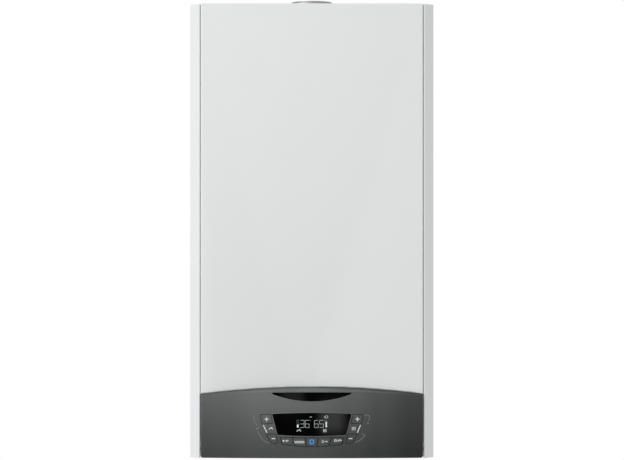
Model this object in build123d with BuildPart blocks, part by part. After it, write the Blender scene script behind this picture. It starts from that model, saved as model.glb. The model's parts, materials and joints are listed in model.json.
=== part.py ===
from build123d import *
from math import radians, sqrt, tan
import os

os.makedirs("parts", exist_ok=True)

# A wall-hung system boiler, in millimetres. X runs to the right, the room is at -Y, Z is up.
# The wall is the plane y = 0 and the origin lies between the two wall screws.
# Depths are counted from the wall into the room, heights from the casing's bottom edge.

# Casing
casing_width = 400.0
casing_height = 745.0
cover_depth = 307.0
screw_drop = 55.0
sheet = 1.0
wall_gap = 7.5
side_fit = 0.3
bevel = 17.0
bend = 1.5
top_step = 0.8
rear_return = 17.0
return_fit = 0.2
seal_setback = 12.0
seal_width = 18.0
seal_fit = 0.5
notch_height = 119.0

half = casing_width / 2
screw_height = casing_height - screw_drop
base = -screw_height
frame_face = wall_gap + sheet
inner = half - sheet
fitted = inner - side_fit
seal_face = cover_depth - seal_setback
strip_edge = half - bevel
flange_half = strip_edge - seal_width - seal_fit
panel_top = casing_height - top_step
plate_top = panel_top - sheet

# Wall fixing
bracket_width = 300.0
bracket_height = 50.0
bracket_steel = 2.5
screw_spacing = 220.0
screw_hole = 4.5
hook_x = 80.0
hook_width = 40.0
hook_lip = 8.0
hook_fit = 1.5
buffer_x = 150.0
buffer_height = 60.0
buffer_radius = 15.0

# Rear frame
frame_flange = 19.5
frame_fit = 0.5
frame_foot = 2.0
rib_inset = 28.0
rib_width = 14.0
rib_depth = 6.0
rib_foot = 60.0
rib_head = 22.0
slot_side = 2.0
slot_drop = 15.0
slot_rise = 0.3

frame_top = plate_top - frame_fit
rib_x = half - rib_inset

# Front cover
cover_seam = 0.8
cover_skirt = 11.0
cover_corner = 3.0
cover_edge = 2.0
front_flange = 50.0
side_flange = 20.0
peg_inset = 14.5
peg_drop = 22.0
peg_radius = 4.0
peg_length = 8.0
tab_half = 10.0
tab_step = 4.0
gasket_width = 10.0
gasket_inset = 4.0
gasket_gap = 0.3

cover_half = strip_edge - cover_seam
cover_back = cover_depth - cover_skirt
cover_inside = cover_depth - sheet
peg_x = flange_half - peg_inset
peg_height = casing_height - peg_drop

# Lower rail and bottom plate
rail_low = 118.0
rail_high = 140.0
rail_depth = 30.0
rail_step = 5.0
floor_height = 30.0
floor_flange = 15.0

floor_top = floor_height + sheet

# Dashboard
fascia_seam = 0.8
fascia_foot = 0.6
fascia_bulge = 12.0
fascia_end_bulge = 3.0
fascia_setback = 25.0
fascia_wall = 2.5
arch_mid = 116.2
arch_end = 104.6
arch_gap = 0.5
bevel_slope = 0.5
lower_corner = 4.0
front_round = 2.0

fascia_back = cover_depth - fascia_setback
fascia_half = strip_edge - fascia_seam
casing_depth = cover_depth + fascia_bulge
end_depth = cover_depth + fascia_end_bulge

# Badge recess and display window
badge_half = 64.5
badge_top = 108.4
badge_tip = 107.9
badge_side = 105.9
badge_bottom = 93.9
display_top_half = 64.6
display_bottom_half = 55.9
display_top = 73.0
display_bottom = 39.3
display_crown = 1.9
display_sag = 2.1
display_corner = 1.0
insert_thickness = 1.5
insert_gap = 0.15
light_border = 4.0

# Keys: outlines of the left-hand pair, the right-hand pair is mirrored
plus_outline = [(-83.8, 71.6), (-67.3, 72.4), (-64.6, 57.9), (-80.8, 57.3)]
minus_outline = [(-74.0, 40.1), (-59.0, 40.1), (-55.8, 25.6), (-62.0, 24.8), (-68.0, 28.2)]
plus_stem = (-74.4, 64.9)
minus_stem = (-63.2, 32.7)
row_top = 35.0
row_top_sag = 1.0
row_bottom = 24.6
row_bottom_sag = 4.5
row_dividers_top = [-51.7, -32.1, -10.6, 10.6, 32.1, 51.7]
row_dividers_bottom = [-49.0, -29.0, -8.9, 8.9, 29.0, 49.0]
row_stem_height = 28.4
key_corner = 1.2
key_gap = 0.6
key_proud = 0.3
key_lip = 1.2
key_lip_thickness = 1.2
key_stem = 3.0
key_travel = 1.0

lip_front = fascia_wall + key_gap
lip_back = lip_front + key_lip_thickness

# Control box behind the dashboard, and its hinge
box_inset = 12.2
box_depth = 57.0
box_low = 8.0
box_high = 88.0
box_wall = 2.0
box_flange = 1.0
hinge_setback = 37.0
hinge_height = 12.0
pin_radius = 3.0
pin_fit = 0.05
lug_radius = 7.0
lug_width = 6.0
hinge_reach = 14.5
bracket_plate = 3.0
bracket_back = 12.0
bracket_front = 10.0
bracket_foot = 2.0
bracket_head = 50.0
bracket_arm = 6.0
bracket_screws = [28.0, 42.0]
gland_x = 60.0
gland_height = 30.0
gland_radius = 9.0
gland_length = 6.0
gland_wall = 4.0
board_inset = 20.0
board_low = 14.0
board_high = 82.0
board_thickness = 1.6
board_setback = 2.0
boss_radius = 4.0
boss_inset = 8.0
module_side = 2.0
module_edge = 1.0
module_clear = 8.0

# Tall parts on the board: middle, width, middle height, height and reach towards the wall
board_parts = [
    (-110.0, 46.0, 52.0, 40.0, 36.0), (-50.0, 22.0, 40.0, 28.0, 18.0), (-20.0, 22.0, 40.0, 28.0, 18.0),
    (10.0, 22.0, 40.0, 28.0, 18.0), (60.0, 34.0, 48.0, 34.0, 24.0), (110.0, 30.0, 56.0, 22.0, 16.0),
]

box_half = fascia_half - box_inset
hinge_depth = cover_depth - hinge_setback
hinge_arm = box_half + hinge_reach
board_half = box_half - board_inset
box_back = fascia_back - box_depth
board_back = fascia_back + board_setback
board_front = board_back + board_thickness

# Flue and air
flue_depth = 150.0
flue_bore = 30.0
flue_wall = 3.0
flue_above = 15.5
flue_rim = 1.0
rim_height = 4.0
socket_depth = 12.0
flue_seat = 8.0
collar_radius = 50.0
collar_wall = 1.5
collar_height = 12.0
collar_flange = 72.0
collar_flange_depth = 60.0
collar_plate = 2.0
collar_corner = 12.0
collar_fit = 1.0
collar_screw_inset = 12.0
sampling_x = 61.0
sampling_radius = 7.0
sampling_height = 8.0
sampling_tip = 2.0
air_cap_x = -130.0
air_cap_radius = 46.0
air_hole_radius = 40.0
air_plug = 3.0

flue_radius = flue_bore + flue_wall - flue_rim

# Heat exchanger
fan_inset = 73.0
fan_spread = 172.0
cover_clear = 28.0
exchanger_height = 470.0
exchanger_radius = 100.0
exchanger_wall = 2.5
exchanger_flange = 8.0
exchanger_flange_thickness = 6.0
rail_sheet = 2.0
rail_front = 88.0
rail_clear = 5.0
rail_bottom = 440.0
rail_top = 500.0
rail_round = 4.0
spigot_wall = 3.0
spigot_top = 590.0
spigot_fit = 0.2
stub_depth = 125.0
stub_spread = 70.0
stub_bottom = 382.0
stub_radius = 11.0
condensate_depth = 120.0
condensate_stub_bottom = 352.0
condensate_radius = 9.0
coil_radius = 78.0
coil_tube = 8.5
coil_lead = 9.0
coil_ends = 34.0
coil_turns = 6
coil_web = 3.0
burner_radius = 35.0
burner_wall = 1.5
burner_gap = 48.0
burner_flange = 50.0
burner_flange_thickness = 3.0

# Burner door, fan and gas-air path
door_step = 2.0
door_thickness = 8.0
hood_radius = 38.0
hood_depth = 34.0
hood_reach = 97.0
hood_neck = 30.0
hood_half_height = 18.0
hood_round = 6.0
hood_flange = 4.0
electrode_reach = 65.0
electrode_heights = [505.0, 440.0]
electrode_radius = 5.0
electrode_length = 26.0
electrode_collar = 3.0
nut_circle = 99.0
nut_count = 8
nut_thickness = 6.0
screw_head = 4.5
head_height = 2.5
small_head = 3.0
small_head_inset = 6.0
rail_screw_inset = 12.0
top_screws = [40.0, 150.0]
top_screw_inset = 12.0
fan_radius = 62.0
fan_half_height = 22.0
fan_wall = 2.5
fan_inlet = 22.0
fan_lip = 4.0
impeller_radius = 51.0
impeller_half_height = 14.0
impeller_disc = 2.0
blade_count = 14
blade_length = 20.0
blade_thickness = 1.5
blade_turn = 25
blade_inset = 1.0
shaft_radius = 4.0
shaft_fit = 0.05
motor_radius = 38.0
motor_height = 48.0
motor_flange = 6.0
motor_foot = 4.0
motor_round = 6.0
motor_plug_half = 12.0
motor_plug_reach = 10.0
motor_plug_low = 16.0
motor_plug_high = 34.0
shaft_end = 12.0
shaft_room = 2.0
venturi_height = 53.0
venturi_flange = 30.0
venturi_waist = 22.0
venturi_throat = 13.0
venturi_mouth = 20.0
venturi_plate = 5.0
gas_port_height = 425.0
gas_port_reach = 35.0
gas_riser_reach = 65.0
silencer_left = 51.0
silencer_right = 63.0
silencer_back = 48.0
silencer_front = 36.0
silencer_height = 60.0
silencer_wall = 2.0
silencer_round = 8.0
silencer_slot_inset = 20.0
silencer_slot_low = 10.0
silencer_slot_high = 22.0

hood_front = cover_inside - cover_clear
door_front = hood_front - hood_depth
exchanger_front = door_front - door_thickness
exchanger_length = exchanger_front - rail_front
door_radius = exchanger_radius + exchanger_flange - door_step
coil_pitch = (exchanger_length - coil_ends) / coil_turns
burner_length = exchanger_length - burner_gap
rail_half = half - rail_clear
fan_x = half - fan_inset
exchanger_x = fan_x - fan_spread
stub_x_left = exchanger_x - stub_spread
stub_x_right = exchanger_x + stub_spread
hood_end = exchanger_x + hood_reach
electrode_x = exchanger_x - electrode_reach
fan_depth = hood_front - fan_radius
fan_low = exchanger_height - fan_half_height
fan_high = exchanger_height + fan_half_height
gas_port_end = fan_x - gas_port_reach
gas_riser_x = fan_x - gas_riser_reach
silencer_x = (fan_x - silencer_left, fan_x + silencer_right)
silencer_depth = (fan_depth - silencer_back, fan_depth + silencer_front)
silencer_top = fan_low - venturi_height

# Gas valve and spark generator
valve_x = 20.0
valve_depth = 190.0
valve_low = 212.0
valve_width = 60.0
valve_length = 62.0
valve_body_height = 76.0
valve_round = 4.0
coil_offsets = [20.0, 54.0]
solenoid_radius = 13.0
solenoid_length = 12.0
tap_offsets = [-16.0, 12.0]
tap_rise = 24.0
tap_radius = 5.0
tap_length = 6.0
plug_half = 18.0
plug_low = 42.0
plug_high = 66.0
plug_reach = 12.0
spark_reach = 30.0
spark_back = 140.0
spark_front = 192.0
spark_low = 335.0
spark_high = 388.0
spark_round = 3.0
spark_ports = [14.0, 38.0]
spark_port_length = 4.0

valve_high = valve_low + valve_body_height
spark_side = spark_reach - inner
spark_middle = spark_side - spark_reach / 2

# Pipes
copper_radius = 9.0
gas_radius = 7.5
copper_wall = 1.0
hose_radius = 8.0
vessel_hose_radius = 5.0
lead_radius = 2.5

# Expansion vessel
vessel_half = 150.0
vessel_low = 330.0
vessel_drop = 55.0
vessel_depth = 72.0
vessel_corner = 45.0
vessel_round = 14.0
vessel_wall = 1.5
vessel_seam = 5.0
vessel_port_x = 85.0
port_length = 12.0
port_wall = 3.0

vessel_high = casing_height - vessel_drop

# Connection row under the casing
row_depth = 95.0
row_pitch = 65.0
stub_low = 4.0
water_stub = 13.2
stub_bore = 2.0
nut_radius = 19.0
gas_nut_radius = 14.0
nut_height = 8.0
manifold_radius = 18.0
manifold_height = 75.0
manifold_overhang = 20.0
bore_end = 20.0
hose_port_offset = 11.0
hose_port_height = 30.0
pump_joint_offset = 12.0

# Pump
pump_x = 130.0
pump_depth = 120.0
pump_height = 190.0
volute_radius = 46.0
volute_length = 50.0
volute_wall = 4.0
neck_radius = 16.0
pump_joint_height = 128.0
outlet_x = 96.0
outlet_radius = 12.0
outlet_top = 250.0
pump_motor_radius = 43.0
pump_motor_length = 65.0
pump_motor_round = 5.0
pump_box = 60.0
pump_box_back = 12.0
pump_box_front = 6.0
pump_box_drop = 14.0
pump_box_rise = 20.0
pump_plug = 9.0
pump_plug_length = 3.0
pump_impeller_radius = 36.0
pump_impeller_half = 8.0
pump_blades = 6
pump_blade_inset = 16.0
pump_blade_shift = 4.0
pump_blade_turn = 30
pump_sheet = 2.0
pump_shaft = 5.0
joint_collar = 6.0
joint_step = 5.0
outlet_collar = 12.0
outlet_step = 4.0
vent_offset = 26.0
vent_setback = 8.0
vent_foot = 30.0
vent_height = 38.0
vent_tip = 6.0
vent_radius = 9.0

volute_back = pump_depth - volute_length / 2
volute_front = pump_depth + volute_length / 2

# Diverter on the flow side
diverter_x = -130.0
diverter_radius = 22.0
diverter_top = 140.0
chamber_radius = 16.0
chamber_low = 88.0
chamber_high = 126.0
plug_radius = 14.0
plug_height = 14.0
plug_rest = 91.0
plug_round = 2.0
spindle_room = 4.0
diverter_travel = 8.0
spindle_radius = 4.0
spindle_top = 160.0
diverter_motor_size = 46.0
diverter_motor_height = 52.0
diverter_motor_corner = 8.0
diverter_motor_round = 4.0
flow_riser_x = -90.0
flow_riser_top = 150.0
riser_wall = 2.0
riser_nut = 5.0
riser_nut_height = 10.0

# Relief valve, drain cock, gauge and trap
relief_x = 97.0
relief_depth = 150.0
relief_body = 13.0
relief_low = 60.0
relief_high = 92.0
relief_outlet = 7.5
relief_outlet_low = 12.0
relief_knob_radius = 15.0
relief_knob_length = 18.0
relief_joint = 132.0
relief_port = 9.0
relief_nose = 4.0
relief_step = 3.0
relief_stem_end = 2.0
relief_stem_room = 2.0
relief_grips = 8
relief_grip_radius = 4.0
relief_grip_shift = 2.0
drain_x = -97.0
drain_depth = 135.0
drain_body = 9.0
drain_knob_radius = 11.0
drain_knob_low = 10.0
drain_knob_high = 26.0
drain_neck = 14.0
drain_arm = 7.0
drain_head = 8.0
drain_seat = 10.0
drain_stem_room = 4.0
drain_grips = 6
drain_grip_radius = 3.5
drain_grip_shift = 1.5
gauge_x = 40.0
gauge_inset = 33.0
gauge_radius = 20.0
gauge_flange = 23.0
gauge_low = 8.0
gauge_high = 44.0
gauge_recess = 5.0
gauge_rim = 2.0
gauge_flange_thickness = 3.0
needle_pin = 1.5
needle_bore = 8.0
needle_rise = 2.0
needle_hub = 3.0
needle_inset = 6.0
needle_tail = (1.2, 6.0)
needle_tip = 0.4
needle_thickness = 0.8
trap_side = 50.0
trap_inset = 28.0
trap_radius = 26.0
trap_low = 48.0
trap_high = 195.0
trap_outlet = 11.0
trap_outlet_low = 10.0
trap_round = 5.0
trap_band = (30.0, 22.0)
trap_band_proud = 2.0
trap_neck = 6.0
trap_spigot = 10.0
floor_clear = 12.0

floor_depth = box_back - floor_clear
gauge_depth = floor_depth - gauge_inset
trap_depth = floor_depth - trap_inset
trap_x = trap_side - half


def level(height):
    """A horizontal plane at a height above the casing's bottom edge."""
    return Plane.XY.offset(base + height)


def facing(depth):
    """An upright plane parallel to the wall, seen from the room: x to the right, y up."""
    return Plane(origin=(0, -depth, base), x_dir=(1, 0, 0), z_dir=(0, -1, 0))


def across(x):
    """An upright plane square to the wall: x towards the room, y up."""
    return Plane(origin=(x, 0, base), x_dir=(0, -1, 0), z_dir=(-1, 0, 0))


def upright(x, depth, low, high, radius, mode=Mode.ADD):
    """A round bar or bore standing between two heights."""
    with Locations((x, -depth, base + low)):
        Cylinder(radius, high - low, align=(Align.CENTER, Align.CENTER, Align.MIN), mode=mode)


def forward(x, height, near, far, radius, mode=Mode.ADD):
    """A round bar or bore square to the wall, between two depths."""
    with Locations(Location((x, -near, base + height), (90, 0, 0))):
        Cylinder(radius, far - near, align=(Align.CENTER, Align.CENTER, Align.MIN), mode=mode)


def hexagon(x, depth, low, high, radius):
    """A hexagonal nut between two heights."""
    with BuildSketch(level(low)) as outline:
        with Locations((x, -depth)):
            RegularPolygon(radius, 6)
    extrude(outline.sketch, amount=high - low)


def sideways(left, right, depth, height, radius, mode=Mode.ADD):
    """A round bar or bore along X."""
    with Locations(Location((left, -depth, base + height), (0, 90, 0))):
        Cylinder(radius, right - left, align=(Align.CENTER, Align.CENTER, Align.MIN), mode=mode)


def block(left, right, near, far, low, high, mode=Mode.ADD):
    """A box between two sides, two depths and two heights."""
    with Locations(((left + right) / 2, -(near + far) / 2, base + (low + high) / 2)):
        Box(right - left, far - near, high - low, mode=mode)


def arc_radius(half_chord, rise):
    """The radius of an arc from its half chord and its rise."""
    return (half_chord**2 + rise**2) / (2 * rise)


def arch_height(x):
    """The height of the dashboard's arched top edge at x."""
    radius = arc_radius(fascia_half, arch_mid - arch_end)
    return arch_mid - radius + sqrt(radius**2 - x**2)


def face_depth(x):
    """The depth of the dashboard's bowed face at x."""
    radius = arc_radius(fascia_half, casing_depth - end_depth)
    return casing_depth - radius + sqrt(radius**2 - x**2)


def bends(places, ease=0.45):
    """The radius at each corner of a bent pipe: as large as its two runs allow."""
    radii = []
    for before, corner, after in zip(places, places[1:], places[2:]):
        first = Vector(corner) - Vector(before)
        second = Vector(after) - Vector(corner)
        turn = radians(first.get_angle(second))
        radii.append(round(ease * min(first.length, second.length) / tan(turn / 2), 2))
    return radii


def pipe(points, outer, wall=0.0):
    """A pipe along straight runs joined by tangent arcs; points are (x, depth, height)."""
    places = [(x, -depth, base + height) for x, depth, height in points]
    radii = bends(places)
    print("bends", radii, "on a pipe of radius", outer)
    with BuildPart() as tube:
        with BuildLine() as path:
            FilletPolyline(*places, radius=radii)
        with BuildSketch(Plane(origin=path.line @ 0, z_dir=path.line % 0)):
            Circle(outer)
            if wall:
                Circle(outer - wall, mode=Mode.SUBTRACT)
        sweep()
    return tube.part


# Wall bracket: a steel strip with two screw holes and two hooks that carry the casing
with BuildPart() as wall_bracket:
    block(-bracket_width / 2, bracket_width / 2, 0, bracket_steel,
          screw_height - bracket_height / 2, screw_height + bracket_height / 2)
    hook_top = screw_height + bracket_height / 2
    hook_face = frame_face + hook_fit
    for side in (-1, 1):
        left, right = side * hook_x - hook_width / 2, side * hook_x + hook_width / 2
        block(left, right, 0, hook_face + bracket_steel, hook_top - bracket_steel, hook_top)
        block(left, right, hook_face, hook_face + bracket_steel, hook_top - bracket_steel,
              hook_top + hook_lip)
        forward(side * screw_spacing / 2, screw_height, -1, bracket_steel + 1, screw_hole, Mode.SUBTRACT)
wall_bracket.part.label = "wall_bracket"
export_step(wall_bracket.part, "parts/wall_bracket.step")

# Rubber buffers that keep the casing's foot off the wall
with BuildPart() as wall_spacers:
    for side in (-1, 1):
        forward(side * buffer_x, buffer_height, 0, wall_gap, buffer_radius)
    fillet(wall_spacers.edges().group_by(Axis.Y)[-1], radius=2)
wall_spacers.part.label = "wall_spacers"
export_step(wall_spacers.part, "parts/wall_spacers.step")

# Rear frame: the sheet that everything hangs on, with side flanges, two ribs and the hook slots
with BuildPart() as rear_frame:
    block(-fitted, fitted, wall_gap, frame_face, frame_foot, frame_top)
    for side in (-1, 1):
        edge = side * (fitted - sheet / 2)
        block(edge - sheet / 2, edge + sheet / 2, frame_face, frame_face + frame_flange,
              frame_foot, frame_top)
        rib = side * rib_x
        rib_top = frame_top - rib_head
        block(rib - rib_width / 2, rib + rib_width / 2, frame_face, frame_face + rib_depth,
              rib_foot, rib_top)
        block(rib - rib_width / 2 + sheet, rib + rib_width / 2 - sheet, wall_gap - 1,
              frame_face + rib_depth - sheet, rib_foot + sheet, rib_top - sheet, Mode.SUBTRACT)
        slot_half = hook_width / 2 + slot_side
        block(side * hook_x - slot_half, side * hook_x + slot_half, wall_gap - 1, frame_face + 1,
              hook_top - slot_drop, hook_top + slot_rise, Mode.SUBTRACT)
rear_frame.part.label = "rear_frame"
export_step(rear_frame.part, "parts/rear_frame.step")

# Side panels: folded sheet with a return behind the frame, a bevelled front strip and a sealing flange
with BuildPart() as right_side_panel:
    with BuildSketch(level(0)):
        with BuildLine():
            FilletPolyline(
                (half - rear_return, return_fit + sheet - wall_gap),
                (half, return_fit + sheet - wall_gap),
                (half, bevel - cover_depth),
                (strip_edge, -cover_depth),
                (strip_edge, -seal_face),
                (strip_edge - seal_width, -seal_face),
                radius=bend,
            )
            offset(amount=sheet, side=Side.RIGHT)
        make_face()
    extrude(amount=panel_top)
    block(strip_edge - seal_width - 1, strip_edge, seal_face - 3, seal_face + 3, -1, notch_height,
          Mode.SUBTRACT)
right_side_panel.part.label = "right_side_panel"
export_step(right_side_panel.part, "parts/right_side_panel.step")

with BuildPart() as left_side_panel:
    mirror(right_side_panel.part, about=Plane.YZ)
left_side_panel.part.label = "left_side_panel"
export_step(left_side_panel.part, "parts/left_side_panel.step")

# Top panel: closes the casing and both front strips, with the flue and air holes and the cover's pegs
strip_inside = cover_depth + strip_edge - sheet * sqrt(2) - side_fit * sqrt(2)
with BuildPart() as top_panel:
    with BuildSketch(level(plate_top)):
        with BuildLine():
            right_edge = Polyline(
                (0, -frame_face - side_fit),
                (fitted, -frame_face - side_fit),
                (fitted, fitted - strip_inside),
                (strip_edge + sheet + side_fit, strip_edge + sheet + side_fit - strip_inside),
                (strip_edge + sheet + side_fit, sheet + side_fit - seal_face),
                (flange_half, sheet + side_fit - seal_face),
                (flange_half, -seal_face),
                (0, -seal_face),
            )
            mirror(right_edge, about=Plane.YZ)
        make_face()
        with Locations((0, -flue_depth)):
            Circle(collar_radius + collar_fit, mode=Mode.SUBTRACT)
        with Locations((air_cap_x, -flue_depth)):
            Circle(air_hole_radius, mode=Mode.SUBTRACT)
    extrude(amount=sheet)
    block(-flange_half, flange_half, seal_face - sheet, seal_face, panel_top - front_flange, plate_top)
    for side in (-1, 1):
        edge = side * (fitted - sheet / 2)
        block(edge - sheet / 2, edge + sheet / 2, frame_face + frame_flange + 2 * side_fit,
              seal_face - rail_step, plate_top - side_flange, plate_top)
        forward(side * peg_x, peg_height, seal_face, seal_face + peg_length, peg_radius)
top_panel.part.label = "top_panel"
export_step(top_panel.part, "parts/top_panel.step")

# Lower rail: ties the side panels above the control box and closes the cover's lower seal
with BuildPart() as lower_rail:
    block(-flange_half, flange_half, seal_face - sheet, seal_face, rail_low, rail_high)
    block(-fitted, fitted, seal_face - rail_depth, seal_face - rail_step, rail_high - sheet, rail_high)
    block(-flange_half, flange_half, seal_face - rail_depth, seal_face, rail_high - sheet, rail_high)
    for side in (-1, 1):
        edge = side * (fitted - sheet / 2)
        block(edge - sheet / 2, edge + sheet / 2, seal_face - rail_depth, seal_face - rail_step,
              rail_low, rail_high)
lower_rail.part.label = "lower_rail"
export_step(lower_rail.part, "parts/lower_rail.step")

# Bottom plate, with a hole for each pipe, the trap, the relief outlet, the drain cock and the gauge
floor_half = fitted - sheet - side_fit
with BuildPart() as bottom_plate:
    block(-floor_half, floor_half, frame_face + side_fit, floor_depth, floor_height, floor_top)
    block(-floor_half, floor_half, floor_depth - sheet, floor_depth, floor_top, floor_top + floor_flange)
    for side in (-1, 1):
        edge = side * (floor_half - sheet / 2)
        block(edge - sheet / 2, edge + sheet / 2, frame_face + side_fit, floor_depth - sheet,
              floor_top, floor_top + floor_flange)
    for step in range(-2, 3):
        upright(step * row_pitch, row_depth, floor_height - 1, floor_top + 1, water_stub + 1, Mode.SUBTRACT)
    for x, depth, radius in (
        (trap_x, trap_depth, trap_outlet + side_fit),
        (relief_x, relief_depth, relief_outlet + side_fit),
        (drain_x, drain_depth, drain_body + side_fit),
        (gauge_x, gauge_depth, gauge_radius + side_fit),
    ):
        upright(x, depth, floor_height - 1, floor_top + 1, radius, Mode.SUBTRACT)
bottom_plate.part.label = "bottom_plate"
export_step(bottom_plate.part, "parts/bottom_plate.step")


def cover_outline(inset, depth):
    """The cover seen from the front: square top corners eased, lower edge arched over the dashboard."""
    reach = cover_half - inset
    foot = arch_height(reach) + arch_gap + inset
    with BuildSketch(facing(depth)) as outline:
        with BuildLine():
            Polyline((-reach, foot), (-reach, casing_height - inset), (reach, casing_height - inset),
                     (reach, foot))
            ThreePointArc((reach, foot), (0, arch_mid + arch_gap + inset), (-reach, foot))
        make_face()
        fillet(outline.vertices().group_by(Axis.Y)[-1], radius=cover_corner - inset)
    return outline.sketch


# Front cover: a shallow pan with two holed tabs that slip over the pegs
cover_front_outline = cover_outline(0, cover_back)
cover_hollow_outline = cover_outline(sheet, cover_back)
with BuildPart() as front_cover:
    extrude(cover_front_outline, amount=cover_skirt)
    fillet(front_cover.faces().sort_by(Axis.Y)[0].edges(), radius=cover_edge)
    extrude(cover_hollow_outline, amount=cover_skirt - sheet, mode=Mode.SUBTRACT)
    for side in (-1, 1):
        block(side * peg_x - tab_half, side * peg_x + tab_half, seal_face + tab_step,
              seal_face + tab_step + sheet, peg_height - tab_half, casing_height - sheet)
        forward(side * peg_x, peg_height, seal_face + tab_step - 1, seal_face + tab_step + sheet + 1,
                peg_radius + side_fit, Mode.SUBTRACT)
front_cover.part.label = "front_cover"
export_step(front_cover.part, "parts/front_cover.step")

# Foam seal inside the cover
gasket_half = strip_edge - gasket_inset
gasket_low = rail_low + gasket_inset
gasket_high = panel_top - front_flange + gasket_inset + gasket_width
with BuildPart() as cover_gasket:
    block(-gasket_half, gasket_half, seal_face + gasket_gap, cover_inside, gasket_low, gasket_high)
    block(gasket_width - gasket_half, gasket_half - gasket_width, seal_face - 1, cover_depth,
          gasket_low + gasket_width, gasket_high - gasket_width, Mode.SUBTRACT)
cover_gasket.part.label = "cover_gasket"
export_step(cover_gasket.part, "parts/cover_gasket.step")


def arch_region(inset, depth):
    """Everything under the dashboard's arch, seen from the front, far enough down for the slanted bevel."""
    reach = half + 20
    foot = -80
    with BuildSketch(facing(depth)) as region:
        with BuildLine():
            ThreePointArc((-reach, arch_height(reach) - inset), (0, arch_mid - inset),
                          (reach, arch_height(reach) - inset))
            Polyline((reach, arch_height(reach) - inset), (reach, foot), (-reach, foot),
                     (-reach, arch_height(reach) - inset))
        make_face()
    return region.sketch


def dashboard_form(inset, back):
    """The dashboard's outer form, or its hollow when inset by the wall: bowed in plan, arched on top,
    with a bevel that falls forward from the arch to the bowed face."""
    reach = fascia_half - inset
    straight = arch_region(inset, cover_depth)
    with BuildPart() as under_arch:
        extrude(straight, amount=back - cover_depth - 1)
        extrude(straight, amount=2 * fascia_bulge * sqrt(1 + bevel_slope**2), dir=(0, -1, -bevel_slope))
    with BuildPart() as form:
        with BuildSketch(level(fascia_foot + inset)):
            with BuildLine():
                ThreePointArc((-reach, inset - end_depth), (0, inset - casing_depth),
                              (reach, inset - end_depth))
                Polyline((reach, inset - end_depth), (reach, -back), (-reach, -back),
                         (-reach, inset - end_depth))
            make_face()
        extrude(amount=arch_mid)
        if not inset:
            feet = form.edges().group_by(Axis.Z)[0].filter_by(Axis.Y)
            fillet(feet, radius=lower_corner)
        add(under_arch.part, mode=Mode.INTERSECT)
    return form.part


def curved_plate(outline, outer, depth_in):
    """The layer of the dashboard's bowed face between two depths below its surface, inside an outline."""
    with BuildPart() as plate:
        with BuildSketch(level(0)):
            with BuildLine():
                front = ThreePointArc((-fascia_half, outer - end_depth), (0, outer - casing_depth),
                                      (fascia_half, outer - end_depth))
                back = ThreePointArc((-fascia_half, depth_in - end_depth), (0, depth_in - casing_depth),
                                     (fascia_half, depth_in - end_depth))
                Line(front @ 0, back @ 0)
                Line(front @ 1, back @ 1)
            make_face()
        extrude(amount=arch_mid)
        extrude(outline, amount=casing_depth - fascia_back + 5, dir=(0, -1, 0), mode=Mode.INTERSECT)
    return plate.part


def badge_outline(grow=0.0):
    """The bare lens under the arch: nearly straight on top, deeply bowed below."""
    with BuildSketch(facing(fascia_back)) as outline:
        with BuildLine():
            ThreePointArc((-badge_half, badge_tip), (0, badge_top), (badge_half, badge_tip))
            Line((badge_half, badge_tip), (badge_half, badge_side))
            ThreePointArc((badge_half, badge_side), (0, badge_bottom), (-badge_half, badge_side))
            Line((-badge_half, badge_side), (-badge_half, badge_tip))
        make_face()
        if grow:
            offset(amount=grow)
    return outline.sketch


def display_outline(grow=0.0):
    """The display window: a trapezoid, wider above, with a crowned top and a sagging lower edge."""
    with BuildSketch(facing(fascia_back)) as outline:
        with BuildLine():
            ThreePointArc((-display_top_half, display_top), (0, display_top + display_crown),
                          (display_top_half, display_top))
            Line((display_top_half, display_top), (display_bottom_half, display_bottom))
            ThreePointArc((display_bottom_half, display_bottom), (0, display_bottom - display_sag),
                          (-display_bottom_half, display_bottom))
            Line((-display_bottom_half, display_bottom), (-display_top_half, display_top))
        make_face()
        fillet(outline.vertices(), radius=display_corner)
        if grow:
            offset(amount=grow)
    return outline.sketch


def corner_key(points, side, grow=0.0):
    """One of the four plus and minus keys beside the display."""
    with BuildSketch(facing(fascia_back)) as outline:
        with BuildLine():
            Polyline(*[(-side * x, height) for x, height in points], close=True)
        make_face()
        fillet(outline.vertices(), radius=key_corner)
        if grow:
            offset(amount=grow)
    return outline.sketch


def key_row(grow=0.0):
    """The band of five keys under the display, its lower edge a smile."""
    with BuildSketch(facing(fascia_back)) as outline:
        with BuildLine():
            ThreePointArc((row_dividers_top[0], row_top), (0, row_top - row_top_sag),
                          (row_dividers_top[-1], row_top))
            Line((row_dividers_top[-1], row_top), (row_dividers_bottom[-1], row_bottom))
            ThreePointArc((row_dividers_bottom[-1], row_bottom), (0, row_bottom - row_bottom_sag),
                          (row_dividers_bottom[0], row_bottom))
            Line((row_dividers_bottom[0], row_bottom), (row_dividers_top[0], row_top))
        make_face()
        fillet(outline.vertices(), radius=key_corner)
        if grow:
            offset(amount=grow)
    return outline.sketch


def row_share(number, plate):
    """One key's share of a plate that spans the whole row, between two dividers."""
    above, below = row_top + 5, row_bottom - 10
    corners = []
    for divider, inward in ((number, key_gap), (number + 1, -key_gap)):
        top, bottom = row_dividers_top[divider], row_dividers_bottom[divider]
        lean = (top - bottom) / (row_top - row_bottom)
        corners.append((top + lean * (above - row_top) + inward, above))
        corners.append((bottom + lean * (below - row_bottom) + inward, below))
    with BuildPart() as share:
        with BuildSketch(facing(fascia_back)):
            with BuildLine():
                Polyline(corners[0], corners[2], corners[3], corners[1], close=True)
            make_face()
        extrude(amount=casing_depth - fascia_back + 5, dir=(0, -1, 0))
        add(plate, mode=Mode.INTERSECT)
    return share.part


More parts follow.
